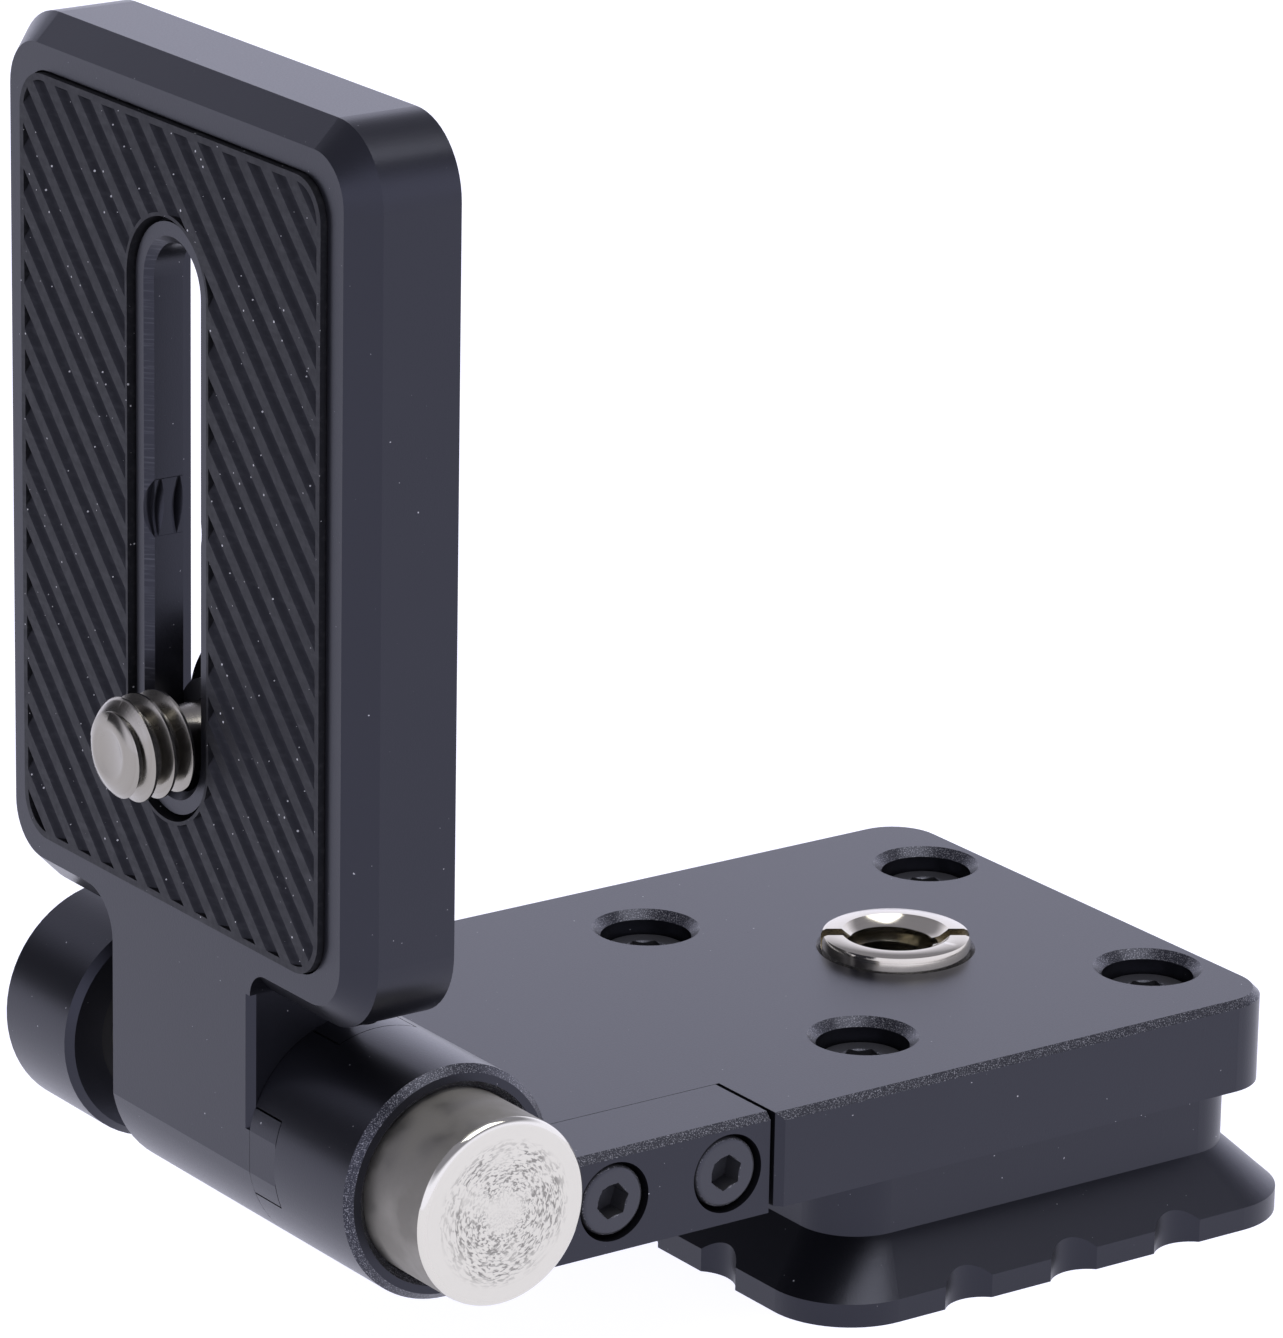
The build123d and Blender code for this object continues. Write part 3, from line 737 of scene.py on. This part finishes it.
def moulded_rubber():
    """Black rubber with a slightly uneven skin, scuffs on the ribs, and lint."""
    material, nodes, links = blank_material("pad_rubber")
    skin = nodes.new("NodeFrame")
    skin.label = "Moulded skin"
    lint_frame = nodes.new("NodeFrame")
    lint_frame.label = "Lint and scuffs"
    place = nodes.new("ShaderNodeTexCoord")
    place.label = "Place on the pad"
    skin_noise = nodes.new("ShaderNodeTexNoise")
    skin_noise.label = "Uneven skin"
    skin_noise.inputs["Scale"].default_value = 2200
    skin_noise.inputs["Detail"].default_value = 4
    skin_bump = nodes.new("ShaderNodeBump")
    skin_bump.label = "Skin relief"
    skin_bump.inputs["Strength"].default_value = 0.35
    skin_bump.inputs["Distance"].default_value = 0.00004
    sheen_spread = nodes.new("ShaderNodeMapRange")
    sheen_spread.label = "Dull and shiny patches"
    sheen_spread.inputs["To Min"].default_value = 0.42
    sheen_spread.inputs["To Max"].default_value = 0.66
    along_ribs = nodes.new("ShaderNodeMapping")
    along_ribs.label = "Along the ribs"
    along_ribs.inputs["Rotation"].default_value = (-groove_angle, 0, 0)
    along_ribs.inputs["Scale"].default_value = (2500, 500, 3000)
    scuffs = nodes.new("ShaderNodeTexNoise")
    scuffs.label = "Scuffs"
    scuffs.inputs["Scale"].default_value = 1.0
    scuffs.inputs["Detail"].default_value = 5
    scuff_share = nodes.new("ShaderNodeMapRange")
    scuff_share.label = "Faint scuffs"
    scuff_share.inputs["From Min"].default_value = 0.5
    scuff_share.inputs["From Max"].default_value = 0.8
    scuff_share.inputs["To Max"].default_value = 0.22
    patches = nodes.new("ShaderNodeTexNoise")
    patches.label = "Where lint gathers"
    patches.inputs["Scale"].default_value = 260
    patches.inputs["Detail"].default_value = 3
    lint = nodes.new("ShaderNodeTexVoronoi")
    lint.label = "Lint grains"
    lint.inputs["Scale"].default_value = 1500
    grain_radius = nodes.new("ShaderNodeMapRange")
    grain_radius.label = "Grains' size"
    grain_radius.inputs["From Min"].default_value = 0.38
    grain_radius.inputs["From Max"].default_value = 0.70
    grain_radius.inputs["To Min"].default_value = 0.025
    grain_radius.inputs["To Max"].default_value = 0.125
    grains = nodes.new("ShaderNodeMath")
    grains.label = "Inside a grain"
    grains.operation = "LESS_THAN"
    scuffed = nodes.new("ShaderNodeMix")
    scuffed.label = "Scuffed colour"
    scuffed.data_type = "RGBA"
    scuffed.inputs["A"].default_value = (0.0045, 0.0045, 0.0048, 1)
    scuffed.inputs["B"].default_value = (0.06, 0.06, 0.062, 1)
    linted = nodes.new("ShaderNodeMix")
    linted.label = "Lint colour"
    linted.data_type = "RGBA"
    linted.inputs["B"].default_value = (0.45, 0.45, 0.45, 1)
    rubber = nodes.new("ShaderNodeBsdfPrincipled")
    rubber.label = "Rubber"
    rubber.inputs["IOR"].default_value = 1.40
    rubber.inputs["Specular Tint"].default_value = (0.85, 0.86, 1.0, 1)
    out = nodes.new("ShaderNodeOutputMaterial")
    out.label = "Finish"
    for node in (skin_noise, skin_bump, sheen_spread):
        node.parent = skin
    for node in (along_ribs, scuffs, scuff_share, patches, lint, grain_radius, grains):
        node.parent = lint_frame
    links.new(place.outputs["Object"], skin_noise.inputs["Vector"])
    links.new(place.outputs["Object"], along_ribs.inputs["Vector"])
    links.new(along_ribs.outputs["Vector"], scuffs.inputs["Vector"])
    links.new(place.outputs["Object"], patches.inputs["Vector"])
    links.new(place.outputs["Object"], lint.inputs["Vector"])
    links.new(skin_noise.outputs["Fac"], skin_bump.inputs["Height"])
    links.new(skin_noise.outputs["Fac"], sheen_spread.inputs["Value"])
    links.new(scuffs.outputs["Fac"], scuff_share.inputs["Value"])
    links.new(patches.outputs["Fac"], grain_radius.inputs["Value"])
    links.new(lint.outputs["Distance"], grains.inputs[0])
    links.new(grain_radius.outputs["Result"], grains.inputs[1])
    links.new(scuff_share.outputs["Result"], scuffed.inputs["Factor"])
    links.new(scuffed.outputs["Result"], linted.inputs["A"])
    links.new(grains.outputs["Value"], linted.inputs["Factor"])
    links.new(linted.outputs["Result"], rubber.inputs["Base Color"])
    links.new(sheen_spread.outputs["Result"], rubber.inputs["Roughness"])
    links.new(skin_bump.outputs["Normal"], rubber.inputs["Normal"])
    links.new(rubber.outputs["BSDF"], out.inputs["Surface"])
    lay_out(nodes)
    return material


finish(ribbed_pad, moulded_rubber())
shade(ribbed_pad)
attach(ribbed_pad, "upright")
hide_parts("rubber_pad")

# Thread adapter --------------------------------------------------------------
# A nickel-plated bushing screwed into the bed: a coarse three-eighths thread
# outside, a quarter-inch thread inside, and a slot across its top for a driver.

bushing_low, bushing_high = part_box("adapter_bushing")
bushing_radius = (bushing_high.x - bushing_low.x) / 2
bushing_length = bushing_high.z - bushing_low.z
bushing_pitch = inch / 16
bushing_chamfer = 0.00035
mouth_radius = 0.00345
mouth_depth = 0.0005
driver_slot = 0.0012
driver_slot_depth = 0.0010
driver_slot_angle = math.radians(-32.6)
outer_thread_depth = 0.0006
mouth_slope = 0.0006
mouth_run_in = 0.0008
mouth_break = 0.0001
nickel = (0.60, 0.57, 0.49)
bushing_profile = [(0, 0), (0, bushing_radius - bushing_chamfer),
                   (bushing_chamfer, bushing_radius)]
thread_turn = 1
while bushing_chamfer + thread_turn * bushing_pitch < bushing_length - bushing_chamfer:
    crest_end = bushing_chamfer + (thread_turn - 0.6) * bushing_pitch
    bushing_profile += [(crest_end, bushing_radius),
                        (crest_end + 0.3 * bushing_pitch, bushing_radius - outer_thread_depth),
                        (crest_end + 0.6 * bushing_pitch, bushing_radius)]
    thread_turn += 1
bushing_profile += [(bushing_length - bushing_chamfer, bushing_radius),
                    (bushing_length - bushing_chamfer * 0.3,
                     bushing_radius - bushing_chamfer * 0.3),
                    (bushing_length, bushing_radius - bushing_chamfer),
                    (bushing_length, 0)]
bushing = new_piece("threaded_bushing", turned(bushing_profile, 128))
mouth = turned(((bushing_length - mouth_depth - mouth_run_in, 0),
                (bushing_length - mouth_depth, mouth_radius - mouth_slope),
                (bushing_length - mouth_break, mouth_radius - mouth_break),
                (bushing_length + overrun, mouth_radius + overrun),
                (bushing_length + overrun, 0)), 96)
combine(bushing, new_piece("mouth", mouth), "DIFFERENCE")
driver = block((2 * driver_slot_depth, driver_slot, cutter_reach), (bushing_length, 0, 0))
combine(bushing, new_piece("driver", driver), "DIFFERENCE")
bore = threaded_bar(quarter_inch_radius, quarter_inch_pitch, -overrun,
                    bushing_length + overrun, 96)
combine(bushing, new_piece("bore", bore), "DIFFERENCE")
stand_up = Matrix.Rotation(driver_slot_angle, 4, "Z") @ Matrix.Rotation(-math.pi / 2, 4, "Y")
bushing_middle_x = (bushing_low.x + bushing_high.x) / 2
bushing.data.transform(Matrix.Translation((bushing_middle_x, 0, bushing_low.z)) @ stand_up)
finish(bushing, nickel_plate("bushing_nickel", nickel, 0.14, "Z", 6000))
shade(bushing)
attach(bushing, "base")
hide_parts("adapter_bushing")

# Socket screws ---------------------------------------------------------------
# Black-oxide cap screws: two hold the hinge block's arm to the bed, four hold the
# foot. Their rims and the sockets' mouths are rubbed bright by the key.


def socket_screw(name, node, turn, key, key_depth, material):
    """Remakes a CAD cap screw with a rounded rim and a bevelled hexagon socket."""
    low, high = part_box(node)
    upright = turn is None
    length = high.z - low.z if upright else high.y - low.y
    radius = (high.x - low.x) / 2
    head = 1.1 * radius
    rim = 0.00032
    rim_steps = 5
    under_break = 0.0001
    thread = radius * 0.54
    profile = [(0, 0), (0, thread), (length - head, thread),
               (length - head, radius - under_break), (length - head + under_break, radius)]
    for step in range(rim_steps + 1):
        lean = step / rim_steps * math.pi / 2
        profile.append((length - rim + rim * math.sin(lean),
                        radius - rim + rim * math.cos(lean)))
    profile.append((length, 0))
    screw = new_piece(name, turned(profile, 64))
    socket = bmesh.new()
    corner = key / 2 / math.cos(math.pi / 6)
    bmesh.ops.create_cone(socket, cap_ends=True, segments=6, radius1=corner, radius2=corner,
                          depth=2 * key_depth)
    bmesh.ops.rotate(socket, matrix=Matrix.Rotation(math.pi / 2, 3, "Y"), verts=socket.verts)
    bmesh.ops.translate(socket, vec=(length, 0, 0), verts=socket.verts)
    combine(screw, new_piece("socket", socket), "DIFFERENCE")
    bevel = bmesh.new()
    bevel_reach = corner + 0.0007
    bevel_lift = 0.00008
    bmesh.ops.create_cone(bevel, cap_ends=True, segments=48, radius1=0, radius2=bevel_reach,
                          depth=bevel_reach)
    bmesh.ops.rotate(bevel, matrix=Matrix.Rotation(math.pi / 2, 3, "Y"), verts=bevel.verts)
    bmesh.ops.translate(bevel, vec=(length - corner + bevel_lift + bevel_reach / 2, 0, 0),
                        verts=bevel.verts)
    combine(screw, new_piece("bevel", bevel), "DIFFERENCE")
    if upright:
        stand = Matrix.Rotation(-math.pi / 2, 4, "Y")
        place = ((low.x + high.x) / 2, (low.y + high.y) / 2, low.z)
    else:
        stand = Matrix.Rotation(-math.pi / 2, 4, "Z") @ Matrix.Rotation(turn, 4, "X")
        place = ((low.x + high.x) / 2, high.y, (low.z + high.z) / 2)
    screw.data.transform(Matrix.Translation(place) @ stand)
    finish(screw, material)
    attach(screw, "base")
    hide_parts(node)


screw_black = (0.028, 0.028, 0.029)
rubbed = (0.30, 0.30, 0.31)
fine_wear = (9000, 9000, 9000)
oxide_satin = 0.34
arm_oxide = anodised("arm_screw_oxide", screw_black, oxide_satin, "Y", rubbed, everywhere,
                     fine_wear)
foot_oxide = anodised("foot_screw_oxide", screw_black, oxide_satin, "Z", rubbed, everywhere,
                      fine_wear)
arm_key = 0.0020
arm_key_depth = 0.0014
socket_screw("arm_screw_in", "arm_screw_inner", 0.2, arm_key, arm_key_depth, arm_oxide)
socket_screw("arm_screw_out", "arm_screw_outer", 0.35, arm_key, arm_key_depth, arm_oxide)
foot_key = 0.0025
foot_key_depth = 0.0016
for number in range(1, 5):
    socket_screw(f"bed_screw_{number}", f"foot_screw_{number}", None, foot_key,
                 foot_key_depth, foot_oxide)

# Push button and hinge pin ---------------------------------------------------
# One piece turned from stainless steel: fine turning lines round its side, a
# polished bevel at the rim, and a face left with rings of chatter by the lathe.


def turned_button():
    """Stainless steel as the lathe leaves it, about the hinge axis, with painted shade darkening the
    turned side.
    """
    material, nodes, links = blank_material("button_steel")
    polar = nodes.new("NodeFrame")
    polar.label = "Distance and angle about the axis"
    side_frame = nodes.new("NodeFrame")
    side_frame.label = "Turned side"
    face_frame = nodes.new("NodeFrame")
    face_frame.label = "Faced end"
    place = nodes.new("ShaderNodeTexCoord")
    place.label = "Place on the pin"
    centred = nodes.new("ShaderNodeMapping")
    centred.label = "Centre on the hinge axis"
    centred.inputs["Location"].default_value = (-hinge_x, 0, -hinge_z)
    parts = nodes.new("ShaderNodeSeparateXYZ")
    parts.label = "Across and along"
    flat = nodes.new("ShaderNodeCombineXYZ")
    flat.label = "Place in the face"
    distance = nodes.new("ShaderNodeVectorMath")
    distance.label = "Distance from the axis"
    distance.operation = "LENGTH"
    heading = nodes.new("ShaderNodeVectorMath")
    heading.label = "Heading from the axis"
    heading.operation = "NORMALIZE"
    ring_rate = nodes.new("ShaderNodeMath")
    ring_rate.label = "Ring spacing"
    ring_rate.operation = "MULTIPLY"
    ring_rate.inputs[1].default_value = 6500
    heading_rate = nodes.new("ShaderNodeVectorMath")
    heading_rate.label = "Chatter length"
    heading_rate.operation = "SCALE"
    heading_rate.inputs["Scale"].default_value = 8.0
    heading_parts = nodes.new("ShaderNodeSeparateXYZ")
    heading_parts.label = "Heading parts"
    chatter_place = nodes.new("ShaderNodeCombineXYZ")
    chatter_place.label = "Along the rings"
    chatter = nodes.new("ShaderNodeTexNoise")
    chatter.label = "Chatter marks"
    chatter.inputs["Scale"].default_value = 1.0
    chatter.inputs["Detail"].default_value = 3
    chatter.inputs["Distortion"].default_value = 0.6
    deep = nodes.new("ShaderNodeMapRange")
    deep.label = "Deep marks only"
    deep.inputs["From Min"].default_value = 0.48
    deep.inputs["From Max"].default_value = 0.60
    patches = nodes.new("ShaderNodeTexNoise")
    patches.label = "Rough patches"
    patches.inputs["Scale"].default_value = 420
    patches.inputs["Detail"].default_value = 2
    patch_share = nodes.new("ShaderNodeMapRange")
    patch_share.label = "Patch strength"
    patch_share.inputs["From Min"].default_value = 0.30
    patch_share.inputs["From Max"].default_value = 0.52
    band = nodes.new("ShaderNodeValToRGB")
    band.label = "Clear middle and clear rim"
    stops = band.color_ramp.elements
    stops[0].position = 0.18
    stops[0].color = (0.25, 0.25, 0.25, 1)
    stops[1].position = 0.26
    stops[1].color = (1, 1, 1, 1)
    outer_stop = stops.new(0.66)
    outer_stop.color = (1, 1, 1, 1)
    rim_stop = stops.new(0.80)
    rim_stop.color = (0.02, 0.02, 0.02, 1)
    band_rate = nodes.new("ShaderNodeMath")
    band_rate.label = "Share of the face's radius"
    band_rate.operation = "DIVIDE"
    band_rate.inputs[1].default_value = button_radius
    patched = nodes.new("ShaderNodeMath")
    patched.label = "Marks in the patches"
    patched.operation = "MULTIPLY"
    banded = nodes.new("ShaderNodeMath")
    banded.label = "Marks in the band"
    banded.operation = "MULTIPLY"
    lines_place = nodes.new("ShaderNodeMapping")
    lines_place.label = "Lines round the side"
    lines_place.inputs["Scale"].default_value = (60, 14000, 60)
    lines = nodes.new("ShaderNodeTexNoise")
    lines.label = "Turning lines"
    lines.inputs["Scale"].default_value = 1.0
    lines.inputs["Detail"].default_value = 3
    smears = nodes.new("ShaderNodeTexNoise")
    smears.label = "Handling smears"
    smears.inputs["Scale"].default_value = 300
    smears.inputs["Detail"].default_value = 5
    facing = nodes.new("ShaderNodeSeparateXYZ")
    facing.label = "Which way the face points"
    facing_end = nodes.new("ShaderNodeMath")
    facing_end.label = "The faced end"
    facing_end.operation = "LESS_THAN"
    facing_end.inputs[1].default_value = -0.95
    facing_side = nodes.new("ShaderNodeMath")
    facing_side.label = "The turned side"
    facing_side.operation = "COMPARE"
    facing_side.inputs[1].default_value = 0.0
    facing_side.inputs[2].default_value = 0.2
    marks = nodes.new("ShaderNodeMath")
    marks.label = "Marks on the end only"
    marks.operation = "MULTIPLY"
    side_lines = nodes.new("ShaderNodeMath")
    side_lines.label = "Lines on the side only"
    side_lines.operation = "MULTIPLY"
    tone = nodes.new("ShaderNodeMix")
    tone.label = "Marked tone"
    tone.data_type = "RGBA"
    tone.inputs["A"].default_value = (0.64, 0.62, 0.54, 1)
    tone.inputs["B"].default_value = (0.26, 0.25, 0.22, 1)
    # Painted shade: the turned side gets a darker copy of the steel colour.
    shaded_side = nodes.new("ShaderNodeMix")
    shaded_side.label = "Painted shade on the turned side"
    shaded_side.data_type = "RGBA"
    shaded_side.inputs["B"].default_value = (0.28, 0.268, 0.238, 1)
    dull = nodes.new("ShaderNodeMapRange")
    dull.label = "Brushed side, polished rim"
    dull.inputs["From Max"].default_value = 0.6
    dull.inputs["To Min"].default_value = 0.10
    dull.inputs["To Max"].default_value = 0.80
    worn = nodes.new("ShaderNodeMath")
    worn.label = "End's own roughness"
    worn.operation = "MULTIPLY"
    worn.inputs[1].default_value = 0.22
    rough = nodes.new("ShaderNodeMath")
    rough.label = "Roughness"
    rough.operation = "ADD"
    height = nodes.new("ShaderNodeMath")
    height.label = "Height of marks and lines"
    height.operation = "MULTIPLY_ADD"
    height.inputs[1].default_value = 0.10
    relief = nodes.new("ShaderNodeBump")
    relief.label = "Mark relief"
    relief.invert = True
    relief.inputs["Strength"].default_value = 0.45
    relief.inputs["Distance"].default_value = 0.00004
    steel = nodes.new("ShaderNodeBsdfPrincipled")
    steel.label = "Stainless steel"
    steel.inputs["Metallic"].default_value = 1.0
    out = nodes.new("ShaderNodeOutputMaterial")
    out.label = "Finish"
    for node in (centred, parts, flat, distance, heading):
        node.parent = polar
    for node in (ring_rate, heading_rate, heading_parts, chatter_place, chatter, deep, patches,
                 patch_share, band, band_rate, patched, banded, worn):
        node.parent = face_frame
    for node in (lines_place, lines, smears, side_lines, dull):
        node.parent = side_frame
    links.new(place.outputs["Object"], centred.inputs["Vector"])
    links.new(centred.outputs["Vector"], parts.inputs["Vector"])
    links.new(parts.outputs["X"], flat.inputs["X"])
    links.new(parts.outputs["Z"], flat.inputs["Z"])
    links.new(flat.outputs["Vector"], distance.inputs[0])
    links.new(flat.outputs["Vector"], heading.inputs[0])
    links.new(distance.outputs["Value"], ring_rate.inputs[0])
    links.new(heading.outputs["Vector"], heading_rate.inputs[0])
    links.new(heading_rate.outputs["Vector"], heading_parts.inputs["Vector"])
    links.new(ring_rate.outputs["Value"], chatter_place.inputs["X"])
    links.new(heading_parts.outputs["X"], chatter_place.inputs["Y"])
    links.new(heading_parts.outputs["Z"], chatter_place.inputs["Z"])
    links.new(chatter_place.outputs["Vector"], chatter.inputs["Vector"])
    links.new(chatter.outputs["Fac"], deep.inputs["Value"])
    links.new(flat.outputs["Vector"], patches.inputs["Vector"])
    links.new(patches.outputs["Fac"], patch_share.inputs["Value"])
    links.new(distance.outputs["Value"], band_rate.inputs[0])
    links.new(band_rate.outputs["Value"], band.inputs["Fac"])
    links.new(deep.outputs["Result"], patched.inputs[0])
    links.new(patch_share.outputs["Result"], patched.inputs[1])
    links.new(patched.outputs["Value"], banded.inputs[0])
    links.new(band.outputs["Color"], banded.inputs[1])
    links.new(place.outputs["Object"], lines_place.inputs["Vector"])
    links.new(lines_place.outputs["Vector"], lines.inputs["Vector"])
    links.new(place.outputs["Object"], smears.inputs["Vector"])
    links.new(place.outputs["Normal"], facing.inputs["Vector"])
    links.new(facing.outputs["Y"], facing_end.inputs[0])
    links.new(facing.outputs["Y"], facing_side.inputs[0])
    links.new(banded.outputs["Value"], marks.inputs[0])
    links.new(facing_end.outputs["Value"], marks.inputs[1])
    links.new(smears.outputs["Fac"], side_lines.inputs[0])
    links.new(facing_side.outputs["Value"], side_lines.inputs[1])
    links.new(marks.outputs["Value"], tone.inputs["Factor"])
    links.new(side_lines.outputs["Value"], dull.inputs["Value"])
    links.new(facing_end.outputs["Value"], worn.inputs[0])
    links.new(dull.outputs["Result"], rough.inputs[0])
    links.new(worn.outputs["Value"], rough.inputs[1])
    links.new(lines.outputs["Fac"], height.inputs[0])
    links.new(marks.outputs["Value"], height.inputs[2])
    links.new(height.outputs["Value"], relief.inputs["Height"])
    links.new(tone.outputs["Result"], shaded_side.inputs["A"])
    links.new(facing_side.outputs["Value"], shaded_side.inputs["Factor"])
    links.new(shaded_side.outputs["Result"], steel.inputs["Base Color"])
    links.new(rough.outputs["Value"], steel.inputs["Roughness"])
    links.new(relief.outputs["Normal"], steel.inputs["Normal"])
    links.new(steel.outputs["BSDF"], out.inputs["Surface"])
    lay_out(nodes)
    return material


pin_low, pin_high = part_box("push_pin")
button_radius = (pin_high.x - pin_low.x) / 2
button_end = pin_low.y
pin_end = pin_high.y
button_rim = 0.0005
rim_steps = 8
button_back = -0.01122
pin_radius = 0.0040
clip_groove = (0.00736, 0.00808)
clip_groove_radius = 0.0035
spring_bore = 0.0026
spring_seat = 0.0040
pin_profile = [(button_end, 0), (button_end, button_radius - button_rim)]
for step in range(1, rim_steps + 1):
    lean = step / rim_steps * math.pi / 2
    pin_profile.append((button_end + button_rim * (1 - math.cos(lean)),
                        button_radius - button_rim * (1 - math.sin(lean))))
pin_profile += [(button_back, button_radius), (button_back, pin_radius),
                (clip_groove[0], pin_radius), (clip_groove[0], clip_groove_radius),
                (clip_groove[1], clip_groove_radius), (clip_groove[1], pin_radius),
                (pin_end, pin_radius), (pin_end, spring_bore),
                (spring_seat, spring_bore), (spring_seat, 0)]
hinge_pin = new_piece("hinge_pin", turned(pin_profile, 160))
hinge_pin.data.transform(Matrix.Translation((hinge_x, 0, hinge_z))
                         @ Matrix.Rotation(math.pi / 2, 4, "Z"))
finish(hinge_pin, turned_button())
shade(hinge_pin)
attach(hinge_pin, "lock_pin")
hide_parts("push_pin")
dowel_grey = (0.55, 0.54, 0.53)
finish(frame["nodes"]["dog_ring_dowel"], nickel_plate("dowel_steel", dowel_grey, 0.3, "Z", 4000))

# Inside the hinge ------------------------------------------------------------
# Nylon bushes and a thrust washer carry the pin, a black nylon collar guides the
# camera screw, and the clip and return spring are oiled spring steel.


def oiled_or_moulded(name, colour, metallic, roughness, grain_size):
    """A plain working finish with a fine grain: moulded nylon, or oiled spring steel."""
    material, nodes, links = blank_material(name)
    grain_frame = nodes.new("NodeFrame")
    grain_frame.label = "Surface grain"
    place = nodes.new("ShaderNodeTexCoord")
    place.label = "Place on the part"
    grain = nodes.new("ShaderNodeTexNoise")
    grain.label = "Grain"
    grain.inputs["Scale"].default_value = 1 / grain_size
    grain.inputs["Detail"].default_value = 3
    tone = nodes.new("ShaderNodeMix")
    tone.label = "Uneven tone"
    tone.data_type = "RGBA"
    tone.inputs["A"].default_value = (*colour, 1)
    tone.inputs["B"].default_value = (colour[0] * 1.6, colour[1] * 1.6, colour[2] * 1.6, 1)
    polish = nodes.new("ShaderNodeMapRange")
    polish.label = "Uneven polish"
    polish.inputs["To Min"].default_value = roughness * 0.8
    polish.inputs["To Max"].default_value = roughness * 1.3
    relief = nodes.new("ShaderNodeBump")
    relief.label = "Grain relief"
    relief.inputs["Strength"].default_value = 0.2
    relief.inputs["Distance"].default_value = 0.00002
    body = nodes.new("ShaderNodeBsdfPrincipled")
    body.label = "Body"
    body.inputs["Metallic"].default_value = metallic
    out = nodes.new("ShaderNodeOutputMaterial")
    out.label = "Finish"
    for node in (grain, tone, polish, relief):
        node.parent = grain_frame
    links.new(place.outputs["Object"], grain.inputs["Vector"])
    links.new(grain.outputs["Fac"], tone.inputs["Factor"])
    links.new(grain.outputs["Fac"], polish.inputs["Value"])
    links.new(grain.outputs["Fac"], relief.inputs["Height"])
    links.new(tone.outputs["Result"], body.inputs["Base Color"])
    links.new(polish.outputs["Result"], body.inputs["Roughness"])
    links.new(relief.outputs["Normal"], body.inputs["Normal"])
    links.new(body.outputs["BSDF"], out.inputs["Surface"])
    lay_out(nodes)
    return material


nylon = oiled_or_moulded("black_nylon", (0.006, 0.006, 0.007), 0.0, 0.42, 0.0004)
spring_steel = oiled_or_moulded("spring_steel", (0.22, 0.22, 0.23), 1.0, 0.3, 0.0003)
for node in ("far_knuckle_bush", "tongue_bush_near", "tongue_bush_far", "thrust_washer",
             "screw_collar"):
    finish(frame["nodes"][node], nylon)
finish(frame["nodes"]["retaining_clip"], spring_steel)

# Return spring ---------------------------------------------------------------
# A compression spring of round wire inside the hollow pin. It sits on the pin's bore at one end
# and on the far plug at the other.

spring_low, spring_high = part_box("return_spring")
wire_radius = 0.00028
coil_radius = (spring_high.x - spring_low.x) / 2 - wire_radius
coil_pitch = 0.0019
wire_sides = 12
steps_a_turn = 40
spring_start = spring_low.y + wire_radius
spring_length = spring_high.y - spring_low.y - 2 * wire_radius
spring_turns = spring_length / coil_pitch
spring_steps = round(spring_turns * steps_a_turn)
coil = bmesh.new()
bmesh.ops.create_circle(coil, segments=wire_sides, radius=wire_radius)
bmesh.ops.translate(coil, vec=(coil_radius, 0, 0), verts=coil.verts)
bmesh.ops.spin(coil, geom=coil.verts[:] + coil.edges[:], cent=(0, 0, 0), axis=(0, 1, 0),
               dvec=(0, spring_length / spring_steps, 0), angle=math.tau * spring_turns,
               steps=spring_steps)
bmesh.ops.holes_fill(coil, edges=[edge for edge in coil.edges if edge.is_boundary], sides=0)
bmesh.ops.recalc_face_normals(coil, faces=coil.faces)
bmesh.ops.translate(coil, vec=(hinge_x, spring_start, hinge_z), verts=coil.verts)
wound_spring = new_piece("wound_spring", coil)
finish(wound_spring, spring_steel)
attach(wound_spring, "lock_pin")
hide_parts("return_spring")
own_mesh(wound_spring)
